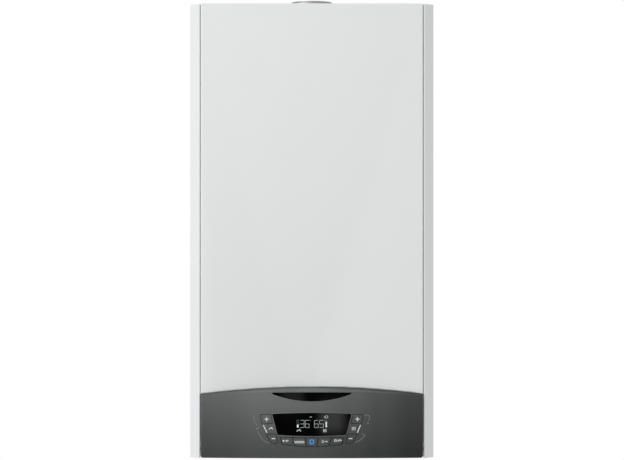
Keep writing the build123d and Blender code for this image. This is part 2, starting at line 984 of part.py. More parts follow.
def lipped_plate(cap_outline, lip_outline):
    """A key's cap, standing a little proud, with the lip that catches behind the wall."""
    cap = curved_plate(cap_outline, -key_proud, lip_back)
    lip = curved_plate(lip_outline, lip_front, lip_back)
    with BuildPart() as plate:
        add(cap)
        add(lip)
    return plate.part


def key(plate, stem):
    """A key with the stem that reaches from its plate to the board."""
    x, height = stem
    with BuildPart() as body:
        add(plate)
        block(x - key_stem / 2, x + key_stem / 2, board_front + key_travel + key_gap,
              face_depth(x) - lip_front, height - key_stem / 2, height + key_stem / 2)
    return body.part


# Dashboard fascia: a moulded shell with recesses for the badge and the display and openings for the keys
fascia_outer = dashboard_form(0, fascia_back)
fascia_hollow = dashboard_form(fascia_wall, fascia_back - 1)
badge_recess = curved_plate(badge_outline(insert_gap), -1, insert_thickness)
display_recess = curved_plate(display_outline(insert_gap), -1, insert_thickness)
openings = [display_outline(-light_border), key_row(key_gap)]
for side in (-1, 1):
    openings += [corner_key(plus_outline, side, key_gap), corner_key(minus_outline, side, key_gap)]
with BuildPart() as fascia:
    add(fascia_outer)
    face_edges = fascia.faces().sort_by(Axis.Y)[0].edges().sort_by(Axis.Z)[:-1]
    fillet(face_edges, radius=front_round)
    add(fascia_hollow, mode=Mode.SUBTRACT)
    for outline in openings:
        extrude(outline, amount=casing_depth - fascia_back + 5, dir=(0, -1, 0), mode=Mode.SUBTRACT)
    for recess in (badge_recess, display_recess):
        add(recess, mode=Mode.SUBTRACT)
fascia.part.label = "fascia"
export_step(fascia.part, "parts/fascia.step")

badge_plate = curved_plate(badge_outline(), 0, insert_thickness)
with BuildPart() as badge_insert:
    add(badge_plate)
badge_insert.part.label = "badge_insert"
export_step(badge_insert.part, "parts/badge_insert.step")

display_plate = curved_plate(display_outline(), 0, insert_thickness)
with BuildPart() as display_window:
    add(display_plate)
display_window.part.label = "display_window"
export_step(display_window.part, "parts/display_window.step")

# The nine keys
corner_keys = {
    "hot_water_plus_button": (plus_outline, plus_stem, 1),
    "hot_water_minus_button": (minus_outline, minus_stem, 1),
    "heating_plus_button": (plus_outline, plus_stem, -1),
    "heating_minus_button": (minus_outline, minus_stem, -1),
}
for name, (points, (stem_x, stem_height), side) in corner_keys.items():
    plate = lipped_plate(corner_key(points, -side), corner_key(points, -side, key_lip))
    pressed = key(plate, (side * stem_x, stem_height))
    with BuildPart() as button:
        add(pressed)
    button.part.label = name
    export_step(button.part, f"parts/{name}.step")

row_names = ("menu_button", "comfort_button", "power_button", "auto_button", "reset_button")
row_plate = lipped_plate(key_row(), key_row(key_lip))
for number, name in enumerate(row_names):
    middle = sum(row_dividers_top[number:number + 2] + row_dividers_bottom[number:number + 2]) / 4
    pressed = key(row_share(number, row_plate), (middle, row_stem_height))
    with BuildPart() as button:
        add(pressed)
    button.part.label = name
    export_step(button.part, f"parts/{name}.step")

# Control box: an open tray with a flange that the fascia sits on, hinge lugs and three cable glands
with BuildPart() as control_box:
    block(-box_half, box_half, box_back, fascia_back, box_low, box_high)
    block(-fascia_half + box_flange, fascia_half - box_flange, fascia_back - box_wall, fascia_back,
          box_flange, arch_end - box_flange)
    block(box_wall - box_half, box_half - box_wall, box_back + box_wall, fascia_back + 1,
          box_low + box_wall, box_high - box_wall, Mode.SUBTRACT)
    for side in (-1, 1):
        left, right = sorted((side * box_half, side * (box_half + lug_width)))
        sideways(left, right, hinge_depth, hinge_height, lug_radius)
        sideways(left - 1, right + 1, hinge_depth, hinge_height, pin_radius + pin_fit, Mode.SUBTRACT)
        for height in (board_low + boss_inset, board_high - boss_inset):
            forward(side * (board_half - boss_inset), height, box_back + box_wall, board_back, boss_radius)
    for x in (-gland_x, 0, gland_x):
        forward(x, gland_height, box_back - gland_length, box_back, gland_radius)
        forward(x, gland_height, box_back - gland_length - 1, box_back + box_wall + 1,
                gland_radius - gland_wall, Mode.SUBTRACT)
control_box.part.label = "control_box"
export_step(control_box.part, "parts/control_box.step")

# Main board with its display module, relays, transformer and key switches
with BuildPart() as main_board:
    block(-board_half, board_half, board_back, board_front, board_low, board_high)
    block(module_side - display_bottom_half, display_bottom_half - module_side, board_front,
          end_depth - module_clear, display_bottom + module_edge, display_top - module_edge)
    for x, width, height, tall, deep in board_parts:
        block(x - width / 2, x + width / 2, board_back - deep, board_back,
              height - tall / 2, height + tall / 2)
main_board.part.label = "main_board"
export_step(main_board.part, "parts/main_board.step")

# Hinge brackets on the side panels, each with the pin that the control box turns on
with BuildPart() as hinge_brackets:
    for side in (-1, 1):
        plate = sorted((side * (inner - bracket_plate), side * inner))
        arm = sorted((side * hinge_arm, side * (inner - bracket_plate)))
        pin = sorted((side * (box_half - 1), side * hinge_arm))
        block(*plate, hinge_depth - bracket_back, hinge_depth + bracket_front, bracket_foot, bracket_head)
        block(*arm, hinge_depth - bracket_arm, hinge_depth + bracket_arm,
              hinge_height - bracket_arm, hinge_height + bracket_arm)
        sideways(*pin, hinge_depth, hinge_height, pin_radius)
hinge_brackets.part.label = "hinge_brackets"
export_step(hinge_brackets.part, "parts/hinge_brackets.step")

# Flue: outer air collar on the top panel, inner flue duct rising from the exchanger, two sampling caps
with BuildPart() as air_collar:
    block(-collar_flange, collar_flange, flue_depth - collar_flange_depth, flue_depth + collar_flange_depth,
          panel_top, panel_top + collar_plate)
    fillet(air_collar.edges().filter_by(Axis.Z), radius=collar_corner)
    upright(0, flue_depth, panel_top, panel_top + collar_height, collar_radius)
    upright(0, flue_depth, panel_top - 1, panel_top + collar_height + 1, collar_radius - collar_wall,
            Mode.SUBTRACT)
air_collar.part.label = "air_collar"
export_step(air_collar.part, "parts/air_collar.step")

with BuildPart() as flue_duct:
    flue_top = casing_height + flue_above
    upright(0, flue_depth, exchanger_height + exchanger_radius + flue_seat, flue_top, flue_radius)
    upright(0, flue_depth, casing_height - socket_depth, flue_top, flue_radius + flue_rim)
    upright(0, flue_depth, flue_top - rim_height, flue_top, flue_radius + 2 * flue_rim)
    upright(0, flue_depth, exchanger_height, flue_top + 1, flue_bore, Mode.SUBTRACT)
flue_duct.part.label = "flue_duct"
export_step(flue_duct.part, "parts/flue_duct.step")

with BuildPart() as sampling_caps:
    for side in (-1, 1):
        low = panel_top + collar_plate
        high = low + sampling_height
        upright(side * sampling_x, flue_depth, low, high, sampling_radius)
        upright(side * sampling_x, flue_depth, high, high + sampling_tip, sampling_radius - sampling_tip)
sampling_caps.part.label = "sampling_caps"
export_step(sampling_caps.part, "parts/sampling_caps.step")

with BuildPart() as air_inlet_cap:
    upright(air_cap_x, flue_depth, panel_top, panel_top + collar_plate, air_cap_radius)
    upright(air_cap_x, flue_depth, plate_top - air_plug, panel_top, air_hole_radius - side_fit)
    fillet(air_inlet_cap.edges().group_by(Axis.Z)[-1], radius=1)
air_inlet_cap.part.label = "air_inlet_cap"
export_step(air_inlet_cap.part, "parts/air_inlet_cap.step")

# Cross rail in front of the expansion vessel, its legs on the rear frame
with BuildPart() as exchanger_rail:
    block(-rail_half, rail_half, frame_face, rail_front, rail_bottom, rail_top)
    block(rail_sheet - rail_half, rail_half - rail_sheet, frame_face - 1, rail_front - rail_sheet,
          rail_bottom - 1, rail_top + 1, Mode.SUBTRACT)
    fillet(exchanger_rail.edges().filter_by(Axis.Z).group_by(Axis.Y)[0], radius=rail_round)
exchanger_rail.part.label = "exchanger_rail"
export_step(exchanger_rail.part, "parts/exchanger_rail.step")

# Exchanger drum: open to the front, flue spigot on top, two water stubs and a condensate stub below
with BuildPart() as exchanger_shell:
    forward(exchanger_x, exchanger_height, rail_front, exchanger_front, exchanger_radius)
    forward(exchanger_x, exchanger_height, exchanger_front - exchanger_flange_thickness, exchanger_front,
            exchanger_radius + exchanger_flange)
    upright(0, flue_depth, exchanger_height, spigot_top, flue_radius + spigot_fit + spigot_wall)
    for x in (stub_x_left, stub_x_right):
        upright(x, stub_depth, stub_bottom, exchanger_height, stub_radius)
    upright(exchanger_x, condensate_depth, condensate_stub_bottom, exchanger_height, condensate_radius)
    forward(exchanger_x, exchanger_height, rail_front + exchanger_wall, exchanger_front + 1,
            exchanger_radius - exchanger_wall, Mode.SUBTRACT)
    upright(0, flue_depth, exchanger_height, spigot_top + 1, flue_radius + spigot_fit, Mode.SUBTRACT)
exchanger_shell.part.label = "exchanger_shell"
export_step(exchanger_shell.part, "parts/exchanger_shell.step")

# Water coil inside the drum, drawn as a ribbed sleeve with one rib for each turn
coil_start = rail_front + exchanger_wall + side_fit
with BuildPart() as exchanger_coil:
    with BuildSketch(across(exchanger_x)):
        for turn in range(coil_turns):
            along = coil_start + coil_tube + coil_lead + turn * coil_pitch
            with Locations((along, exchanger_height + coil_radius)):
                Circle(coil_tube)
        with Locations((coil_start, exchanger_height + coil_radius)):
            Rectangle(coil_turns * coil_pitch + coil_lead, coil_web, align=(Align.MIN, Align.CENTER))
    revolve(axis=Axis((exchanger_x, 0, base + exchanger_height), (0, 1, 0)))
exchanger_coil.part.label = "exchanger_coil"
export_step(exchanger_coil.part, "parts/exchanger_coil.step")

with BuildPart() as burner_tube:
    burner_end = exchanger_front - burner_length
    forward(exchanger_x, exchanger_height, burner_end, exchanger_front, burner_radius)
    forward(exchanger_x, exchanger_height, exchanger_front - burner_flange_thickness, exchanger_front,
            burner_flange)
    forward(exchanger_x, exchanger_height, burner_end + burner_wall, exchanger_front + 1,
            burner_radius - burner_wall, Mode.SUBTRACT)
burner_tube.part.label = "burner_tube"
export_step(burner_tube.part, "parts/burner_tube.step")

# Burner door with the gas-air hood that leads in from the fan, and its two electrodes
with BuildPart() as burner_door:
    forward(exchanger_x, exchanger_height, exchanger_front, door_front, door_radius)
    with BuildSketch(facing(door_front)):
        with Locations((exchanger_x, exchanger_height)):
            Circle(hood_radius)
        with BuildLine():
            Polyline(
                (exchanger_x, exchanger_height + hood_radius),
                (hood_end - hood_neck, exchanger_height + hood_half_height),
                (hood_end, exchanger_height + hood_half_height),
                (hood_end, exchanger_height - hood_half_height),
                (hood_end - hood_neck, exchanger_height - hood_half_height),
                (exchanger_x, exchanger_height - hood_radius),
                close=True,
            )
        make_face()
    extrude(amount=hood_depth)
    fillet(burner_door.faces().sort_by(Axis.Y)[0].edges(), radius=hood_round)
    block(hood_end - hood_flange, hood_end, door_front, hood_front,
          fan_low - fan_lip, fan_high + fan_lip)
    for height in electrode_heights:
        forward(electrode_x, height, door_front, door_front + electrode_length, electrode_radius)
        forward(electrode_x, height, door_front, door_front + electrode_collar, 2 * electrode_radius)
burner_door.part.label = "burner_door"
export_step(burner_door.part, "parts/burner_door.step")

# Fan housing: a scroll open to the gas mixer below and to the hood on the left
with BuildPart() as fan_housing:
    upright(fan_x, fan_depth, fan_low, fan_high, fan_radius)
    block(hood_end, fan_x, door_front, hood_front, fan_low, fan_high)
    block(hood_end, hood_end + hood_flange, door_front, hood_front, fan_low - fan_lip, fan_high + fan_lip)
    upright(fan_x, fan_depth, fan_low + fan_wall, fan_high - fan_wall, fan_radius - fan_wall, Mode.SUBTRACT)
    block(hood_end - 1, fan_x, door_front + fan_wall, hood_front - fan_wall, fan_low + 2 * fan_wall,
          fan_high - 2 * fan_wall, Mode.SUBTRACT)
    upright(fan_x, fan_depth, fan_low - 1, fan_low + fan_wall + 1, fan_inlet, Mode.SUBTRACT)
    upright(fan_x, fan_depth, fan_high - fan_wall - 1, fan_high + 1, 2 * shaft_radius, Mode.SUBTRACT)
fan_housing.part.label = "fan_housing"
export_step(fan_housing.part, "parts/fan_housing.step")

# Fan impeller: a disc and a ring with curved blades between them, on the motor's shaft
with BuildPart() as fan_impeller:
    low, high = exchanger_height - impeller_half_height, exchanger_height + impeller_half_height
    upright(fan_x, fan_depth, high - impeller_disc, high, impeller_radius)
    with BuildSketch(level(low)):
        with Locations((fan_x, -fan_depth)):
            Circle(impeller_radius)
            Circle(impeller_radius - blade_length, mode=Mode.SUBTRACT)
    extrude(amount=impeller_disc)
    with BuildSketch(level(low)):
        with Locations((fan_x, -fan_depth)):
            with PolarLocations(impeller_radius - blade_length / 2 - blade_inset, blade_count):
                Rectangle(blade_length, blade_thickness, rotation=blade_turn)
    extrude(amount=high - low - impeller_disc / 2)
    upright(fan_x, fan_depth, exchanger_height, fan_high + motor_height - shaft_end, shaft_radius)
fan_impeller.part.label = "fan_impeller"
export_step(fan_impeller.part, "parts/fan_impeller.step")

with BuildPart() as fan_motor:
    upright(fan_x, fan_depth, fan_high, fan_high + motor_height, motor_radius)
    fillet(fan_motor.edges().group_by(Axis.Z)[-1], radius=motor_round)
    upright(fan_x, fan_depth, fan_high, fan_high + motor_foot, motor_radius + motor_flange)
    block(fan_x - motor_radius - motor_plug_reach, fan_x - motor_radius + motor_flange,
          fan_depth - motor_plug_half, fan_depth + motor_plug_half,
          fan_high + motor_plug_low, fan_high + motor_plug_high)
    upright(fan_x, fan_depth, fan_high - 1, fan_high + motor_height - shaft_end + shaft_room,
            shaft_radius + shaft_fit, Mode.SUBTRACT)
fan_motor.part.label = "fan_motor"
export_step(fan_motor.part, "parts/fan_motor.step")

# Gas and air mixer under the fan, and the intake silencer that hangs from it
with BuildPart() as venturi:
    with BuildSketch(Plane(origin=(fan_x, -fan_depth, base), x_dir=(1, 0, 0), z_dir=(0, -1, 0))):
        with BuildLine():
            Polyline(
                (venturi_throat, (silencer_top + fan_low) / 2),
                (venturi_mouth, silencer_top),
                (venturi_flange, silencer_top),
                (venturi_flange, silencer_top + venturi_plate),
                (venturi_waist, silencer_top + venturi_plate),
                (venturi_waist, fan_low - venturi_plate),
                (venturi_flange, fan_low - venturi_plate),
                (venturi_flange, fan_low),
                (venturi_mouth, fan_low),
                close=True,
            )
        make_face()
    revolve(axis=Axis((fan_x, -fan_depth, 0), (0, 0, 1)))
    sideways(gas_port_end, fan_x - venturi_mouth, fan_depth, gas_port_height, gas_radius + 2)
venturi.part.label = "venturi"
export_step(venturi.part, "parts/venturi.step")

with BuildPart() as air_silencer:
    block(*silencer_x, *silencer_depth, silencer_top - silencer_height, silencer_top)
    fillet(air_silencer.edges().filter_by(Axis.Z), radius=silencer_round)
    silencer_low = silencer_top - silencer_height
    block(silencer_x[0] + silencer_wall, silencer_x[1] - silencer_wall, silencer_depth[0] + silencer_wall,
          silencer_depth[1] - silencer_wall, silencer_low + silencer_wall, silencer_top - silencer_wall,
          Mode.SUBTRACT)
    upright(fan_x, fan_depth, silencer_top - silencer_wall - 1, silencer_top + 1, venturi_mouth,
            Mode.SUBTRACT)
    block(silencer_x[0] + silencer_slot_inset, silencer_x[1] - silencer_slot_inset,
          silencer_depth[0] - 1, silencer_depth[0] + silencer_wall + 1,
          silencer_low + silencer_slot_low, silencer_low + silencer_slot_high, Mode.SUBTRACT)
air_silencer.part.label = "air_silencer"
export_step(air_silencer.part, "parts/air_silencer.step")

# Gas valve with its two coils and pressure taps
with BuildPart() as gas_valve:
    block(valve_x - valve_width / 2, valve_x + valve_width / 2, valve_depth - valve_length / 2,
          valve_depth + valve_length / 2, valve_low, valve_high)
    fillet(gas_valve.edges(), radius=valve_round)
    valve_side, valve_front = valve_x + valve_width / 2, valve_depth + valve_length / 2
    for offset in coil_offsets:
        sideways(valve_side - 1, valve_side + solenoid_length, valve_depth, valve_low + offset,
                 solenoid_radius)
    for offset in tap_offsets:
        forward(valve_x + offset, valve_low + tap_rise, valve_front - 1, valve_front + tap_length,
                tap_radius)
    block(valve_x - plug_half, valve_x + plug_half, valve_front - 1, valve_front + plug_reach,
          valve_low + plug_low, valve_low + plug_high)
gas_valve.part.label = "gas_valve"
export_step(gas_valve.part, "parts/gas_valve.step")

# Spark generator on the left side panel, below the drum
with BuildPart() as spark_generator:
    block(-inner, spark_side, spark_back, spark_front, spark_low, spark_high)
    fillet(spark_generator.edges().group_by(Axis.X)[-1], radius=spark_round)
    for rise in spark_ports:
        forward(spark_middle, spark_low + rise, spark_front - 1, spark_front + spark_port_length,
                lead_radius + 2)
spark_generator.part.label = "spark_generator"
export_step(spark_generator.part, "parts/spark_generator.step")


def vessel_body(inset):
    """The flat expansion vessel's outer form, or its hollow when inset by the wall."""
    middle = (vessel_low + vessel_high) / 2
    with BuildPart() as body:
        with BuildSketch(facing(frame_face + inset)):
            with Locations((0, middle)):
                RectangleRounded(2 * (vessel_half - inset), vessel_high - vessel_low - 2 * inset,
                                 vessel_corner - inset)
        extrude(amount=vessel_depth - 2 * inset)
        fillet(body.faces().sort_by(Axis.Y)[0].edges(), radius=vessel_round - inset)
    return body.part


# Expansion vessel: two pressed halves that meet at a seam, hung flat on the rear frame
vessel_outer = vessel_body(0)
vessel_hollow = vessel_body(vessel_wall)
with BuildPart() as expansion_vessel:
    add(vessel_outer)
    with BuildSketch(facing(frame_face + vessel_depth / 2)):
        with Locations((0, (vessel_low + vessel_high) / 2)):
            RectangleRounded(2 * (vessel_half + vessel_seam), vessel_high - vessel_low + 2 * vessel_seam,
                             vessel_corner + vessel_seam)
    extrude(amount=2 * vessel_wall)
    upright(vessel_port_x, frame_face + vessel_depth / 2, vessel_low - port_length,
            vessel_low + vessel_seam, vessel_hose_radius + port_wall)
    add(vessel_hollow, mode=Mode.SUBTRACT)
expansion_vessel.part.label = "expansion_vessel"
export_step(expansion_vessel.part, "parts/expansion_vessel.step")

# Return side: a manifold along the wall with two connections down, a port for the vessel hose on top,
# a joint up to the pump and an outlet forward to the relief valve
return_left, return_right = row_pitch - manifold_overhang, 2 * row_pitch + manifold_overhang
with BuildPart() as return_block:
    sideways(return_left, return_right, row_depth, manifold_height, manifold_radius)
    for step in (1, 2):
        upright(step * row_pitch, row_depth, stub_low, manifold_height, water_stub)
        hexagon(step * row_pitch, row_depth, floor_top, floor_top + nut_height, nut_radius)
    upright(vessel_port_x, row_depth - hose_port_offset, manifold_height,
            manifold_height + hose_port_height, vessel_hose_radius + port_wall)
    upright(pump_x, row_depth + pump_joint_offset, manifold_height, pump_joint_height, neck_radius)
    forward(relief_x, manifold_height, row_depth, relief_joint, relief_port)
    for step in (1, 2):
        upright(step * row_pitch, row_depth, stub_low - 1, manifold_height - bore_end,
                water_stub - stub_bore, Mode.SUBTRACT)
return_block.part.label = "return_block"
export_step(return_block.part, "parts/return_block.step")

# Pump: volute on the return manifold, wet motor in front of it, outlet up to the exchanger
with BuildPart() as pump_housing:
    forward(pump_x, pump_height, volute_back, volute_front, volute_radius)
    upright(pump_x, row_depth + pump_joint_offset, pump_joint_height, pump_height, neck_radius)
    upright(pump_x, row_depth + pump_joint_offset, pump_joint_height, pump_joint_height + joint_collar,
            neck_radius + joint_step)
    upright(outlet_x, pump_depth, pump_height, outlet_top, outlet_radius)
    upright(outlet_x, pump_depth, outlet_top - outlet_collar, outlet_top, outlet_radius + outlet_step)
    vent_low = pump_height + vent_foot
    vent_top = vent_low + vent_height
    upright(pump_x + vent_offset, pump_depth - vent_setback, vent_low, vent_top, vent_radius)
    upright(pump_x + vent_offset, pump_depth - vent_setback, vent_top, vent_top + vent_tip, vent_radius / 2)
    forward(pump_x, pump_height, volute_back + volute_wall, volute_front - volute_wall,
            volute_radius - volute_wall, Mode.SUBTRACT)
    forward(pump_x, pump_height, volute_front - volute_wall - 1, volute_front + 1, 2 * pump_shaft,
            Mode.SUBTRACT)
pump_housing.part.label = "pump_housing"
export_step(pump_housing.part, "parts/pump_housing.step")

with BuildPart() as pump_impeller:
    forward(pump_x, pump_height, pump_depth - pump_impeller_half,
            pump_depth - pump_impeller_half + pump_sheet, pump_impeller_radius)
    with BuildSketch(facing(pump_depth - pump_impeller_half)):
        with Locations((pump_x, pump_height)):
            with PolarLocations(pump_impeller_radius / 2 + pump_blade_shift, pump_blades):
                Rectangle(pump_impeller_radius - pump_blade_inset, pump_sheet, rotation=pump_blade_turn)
    extrude(amount=2 * pump_impeller_half)
    forward(pump_x, pump_height, pump_depth - pump_impeller_half,
            volute_front + pump_motor_length - shaft_end - shaft_room, pump_shaft)
pump_impeller.part.label = "pump_impeller"
export_step(pump_impeller.part, "parts/pump_impeller.step")

with BuildPart() as pump_motor:
    motor_front = volute_front + pump_motor_length
    forward(pump_x, pump_height, volute_front, motor_front, pump_motor_radius)
    fillet(pump_motor.edges().group_by(Axis.Y)[0], radius=pump_motor_round)
    block(pump_x - pump_box / 2, pump_x + pump_box / 2, volute_front + pump_box_back,
          motor_front - pump_box_front, pump_height - pump_motor_radius - pump_box_drop,
          pump_height - pump_box_rise)
    forward(pump_x, pump_height, motor_front, motor_front + pump_plug_length, pump_plug)
    forward(pump_x, pump_height, volute_front - 1, motor_front - shaft_end, pump_shaft + shaft_fit,
            Mode.SUBTRACT)
pump_motor.part.label = "pump_motor"
export_step(pump_motor.part, "parts/pump_motor.step")

# Flow side: a manifold with the heating and cylinder connections and the diverter's valve body
flow_left, flow_right = -2 * row_pitch - manifold_overhang, -row_pitch + manifold_overhang
with BuildPart() as flow_block:
    sideways(flow_left, flow_right, row_depth, manifold_height, manifold_radius)
    for step in (-2, -1):
        upright(step * row_pitch, row_depth, stub_low, manifold_height, water_stub)
        hexagon(step * row_pitch, row_depth, floor_top, floor_top + nut_height, nut_radius)
    upright(diverter_x, row_depth, manifold_height, diverter_top, diverter_radius)
    upright(flow_riser_x, row_depth, manifold_height, flow_riser_top, copper_radius + riser_wall)
    upright(flow_riser_x, row_depth, flow_riser_top - riser_nut_height, flow_riser_top,
            copper_radius + riser_nut)
    forward(drain_x, manifold_height, row_depth, drain_depth - drain_body + 1, drain_arm)
    for step in (-2, -1):
        upright(step * row_pitch, row_depth, stub_low - 1, manifold_height - bore_end,
                water_stub - stub_bore, Mode.SUBTRACT)
    upright(diverter_x, row_depth, chamber_low, chamber_high, chamber_radius, Mode.SUBTRACT)
    upright(diverter_x, row_depth, chamber_high - 1, diverter_top + 1, spindle_radius + pin_fit,
            Mode.SUBTRACT)
    upright(drain_x, drain_depth, drain_knob_high + drain_neck, manifold_height + drain_head, drain_body)
    upright(drain_x, drain_depth, drain_knob_high + drain_neck - 1, manifold_height - drain_seat,
            pin_radius + pin_fit, Mode.SUBTRACT)
flow_block.part.label = "flow_block"
export_step(flow_block.part, "parts/flow_block.step")

# Diverter spindle: a plug on a rod that the diverter's motor lifts from the heating seat
with BuildPart() as diverter_spindle:
    upright(diverter_x, row_depth, plug_rest, plug_rest + plug_height, plug_radius)
    fillet(diverter_spindle.edges(), radius=plug_round)
    upright(diverter_x, row_depth, plug_rest + plug_height / 2, spindle_top, spindle_radius)
diverter_spindle.part.label = "diverter_spindle"
export_step(diverter_spindle.part, "parts/diverter_spindle.step")

with BuildPart() as diverter_motor:
    block(diverter_x - diverter_motor_size / 2, diverter_x + diverter_motor_size / 2,
          row_depth - diverter_motor_size / 2, row_depth + diverter_motor_size / 2,
          diverter_top, diverter_top + diverter_motor_height)
    fillet(diverter_motor.edges().filter_by(Axis.Z), radius=diverter_motor_corner)
    fillet(diverter_motor.edges().group_by(Axis.Z)[-1], radius=diverter_motor_round)
    upright(diverter_x, row_depth, diverter_top - 1, spindle_top + diverter_travel + spindle_room,
            spindle_radius + pin_fit, Mode.SUBTRACT)
diverter_motor.part.label = "diverter_motor"
export_step(diverter_motor.part, "parts/diverter_motor.step")

# Relief valve on the return side, its outlet down through the bottom plate, and its red turning knob
relief_front = relief_depth + relief_body
with BuildPart() as relief_valve:
    upright(relief_x, relief_depth, relief_low, relief_high, relief_body)
    upright(relief_x, relief_depth, relief_outlet_low, relief_low, relief_outlet)
    forward(relief_x, manifold_height, relief_joint, relief_front + relief_nose, relief_body - relief_step)
    forward(relief_x, manifold_height, relief_depth + relief_stem_end, relief_front + relief_nose + 1,
            pin_radius + pin_fit, Mode.SUBTRACT)
relief_valve.part.label = "relief_valve"
export_step(relief_valve.part, "parts/relief_valve.step")

with BuildPart() as relief_knob:
    low = relief_front + relief_nose + side_fit
    with BuildSketch(facing(low)):
        with Locations((relief_x, manifold_height)):
            Circle(relief_knob_radius)
            with PolarLocations(relief_knob_radius + relief_grip_shift, relief_grips):
                Circle(relief_grip_radius, mode=Mode.SUBTRACT)
    extrude(amount=relief_knob_length)
    fillet(relief_knob.edges().group_by(Axis.Y)[0], radius=1)
    forward(relief_x, manifold_height, relief_depth + relief_stem_end + relief_stem_room, low + 1,
            pin_radius)
relief_knob.part.label = "relief_knob"
export_step(relief_knob.part, "parts/relief_knob.step")

# Drain knob under the bottom plate, on a stem in the drain cock
with BuildPart() as drain_knob:
    with BuildSketch(level(drain_knob_low)):
        with Locations((drain_x, -drain_depth)):
            Circle(drain_knob_radius)
            with PolarLocations(drain_knob_radius + drain_grip_shift, drain_grips):
                Circle(drain_grip_radius, mode=Mode.SUBTRACT)
    extrude(amount=drain_knob_high - drain_knob_low)
    upright(drain_x, drain_depth, drain_knob_high - 1, manifold_height - drain_seat - drain_stem_room,
            pin_radius)
drain_knob.part.label = "drain_knob"
export_step(drain_knob.part, "parts/drain_knob.step")

# Pressure gauge in the bottom plate, its dial facing down, and its needle
with BuildPart() as pressure_gauge:
    upright(gauge_x, gauge_depth, gauge_low, gauge_high, gauge_radius)
    upright(gauge_x, gauge_depth, floor_height - gauge_flange_thickness, floor_height, gauge_flange)
    upright(gauge_x, gauge_depth, gauge_low - 1, gauge_low + gauge_recess, gauge_radius - gauge_rim,
            Mode.SUBTRACT)
    upright(gauge_x, gauge_depth, gauge_low + gauge_recess - 1, gauge_low + gauge_recess + needle_bore,
            needle_pin + pin_fit, Mode.SUBTRACT)
pressure_gauge.part.label = "pressure_gauge"
export_step(pressure_gauge.part, "parts/pressure_gauge.step")

with BuildPart() as gauge_needle:
    low = gauge_low + gauge_recess - needle_rise
    upright(gauge_x, gauge_depth, low, low + needle_bore, needle_pin)
    upright(gauge_x, gauge_depth, low, low + 1, needle_hub)
    with BuildSketch(level(low)):
        with BuildLine():
            tail_half, tail_length = needle_tail
            needle_end = gauge_radius - needle_inset - gauge_depth
            Polyline((gauge_x - tail_half, -gauge_depth - tail_length),
                     (gauge_x + tail_half, -gauge_depth - tail_length),
                     (gauge_x + needle_tip, needle_end), (gauge_x - needle_tip, needle_end), close=True)
        make_face()
    extrude(amount=needle_thickness)
gauge_needle.part.label = "gauge_needle"
export_step(gauge_needle.part, "parts/gauge_needle.step")

# Condensate trap with a ribbed cap, its outlet through the bottom plate
with BuildPart() as siphon_trap:
    upright(trap_x, trap_depth, trap_low, trap_high, trap_radius)
    fillet(siphon_trap.edges(), radius=trap_round)
    upright(trap_x, trap_depth, trap_high - trap_band[0], trap_high - trap_band[1],
            trap_radius + trap_band_proud)
    upright(trap_x, trap_depth, trap_outlet_low, trap_low + 1, trap_outlet)
    upright(trap_x, trap_depth, floor_top, trap_low + 1, trap_outlet + trap_neck)
    upright(trap_x, trap_depth, trap_high - 1, trap_high + trap_spigot, hose_radius + trap_band_proud)
siphon_trap.part.label = "siphon_trap"
export_step(siphon_trap.part, "parts/siphon_trap.step")

condensate_run = pipe(
    [
        (exchanger_x, condensate_depth, condensate_stub_bottom),
        (exchanger_x, condensate_depth, condensate_stub_bottom - 42),
        (exchanger_x - 45, condensate_depth + 30, condensate_stub_bottom - 80),
        (trap_x, trap_depth, trap_high + 50),
        (trap_x, trap_depth, trap_high + trap_spigot),
    ],
    hose_radius, 2.0,
)
with BuildPart() as condensate_hose:
    add(condensate_run)
condensate_hose.part.label = "condensate_hose"
export_step(condensate_hose.part, "parts/condensate_hose.step")

vessel_run = pipe(
    [
        (vessel_port_x, frame_face + vessel_depth / 2, vessel_low - port_length),
        (vessel_port_x, frame_face + vessel_depth / 2, manifold_height + 110),
        (vessel_port_x, row_depth - hose_port_offset, manifold_height + 70),
        (vessel_port_x, row_depth - hose_port_offset, manifold_height + hose_port_height),
    ],
    vessel_hose_radius, 1.5,
)
with BuildPart() as vessel_hose:
    add(vessel_run)
vessel_hose.part.label = "vessel_hose"
export_step(vessel_hose.part, "parts/vessel_hose.step")

# Copper pipes: gas in and out of the valve, flow from the exchanger, return from the pump
pipe_routes = [
    ([(0, row_depth, stub_low), (0, row_depth, manifold_height), (valve_x, valve_depth, valve_low - 72),
      (valve_x, valve_depth, valve_low)], gas_radius),
    ([(valve_x, valve_depth, valve_high), (valve_x, valve_depth, valve_high + 30),
      (gas_riser_x, fan_depth, valve_high + 48), (gas_riser_x, fan_depth, gas_port_height),
      (gas_port_end, fan_depth, gas_port_height)], gas_radius),
    ([(stub_x_left, stub_depth, stub_bottom), (stub_x_left, stub_depth, stub_bottom - 82),
      (flow_riser_x, row_depth, flow_riser_top + 85), (flow_riser_x, row_depth, flow_riser_top)],
     copper_radius),
    ([(outlet_x, pump_depth, outlet_top), (outlet_x, pump_depth, outlet_top + 42),
      (stub_x_right, stub_depth, stub_bottom - 46), (stub_x_right, stub_depth, stub_bottom)],
     copper_radius),
]
runs = [pipe(points, radius, copper_wall) for points, radius in pipe_routes]
with BuildPart() as copper_pipes:
    for run in runs:
        add(run)
    with BuildSketch(level(floor_top)):
        with Locations((0, -row_depth)):
            RegularPolygon(gas_nut_radius, 6)
            Circle(gas_radius, mode=Mode.SUBTRACT)
    extrude(amount=nut_height)
copper_pipes.part.label = "copper_pipes"
export_step(copper_pipes.part, "parts/copper_pipes.step")

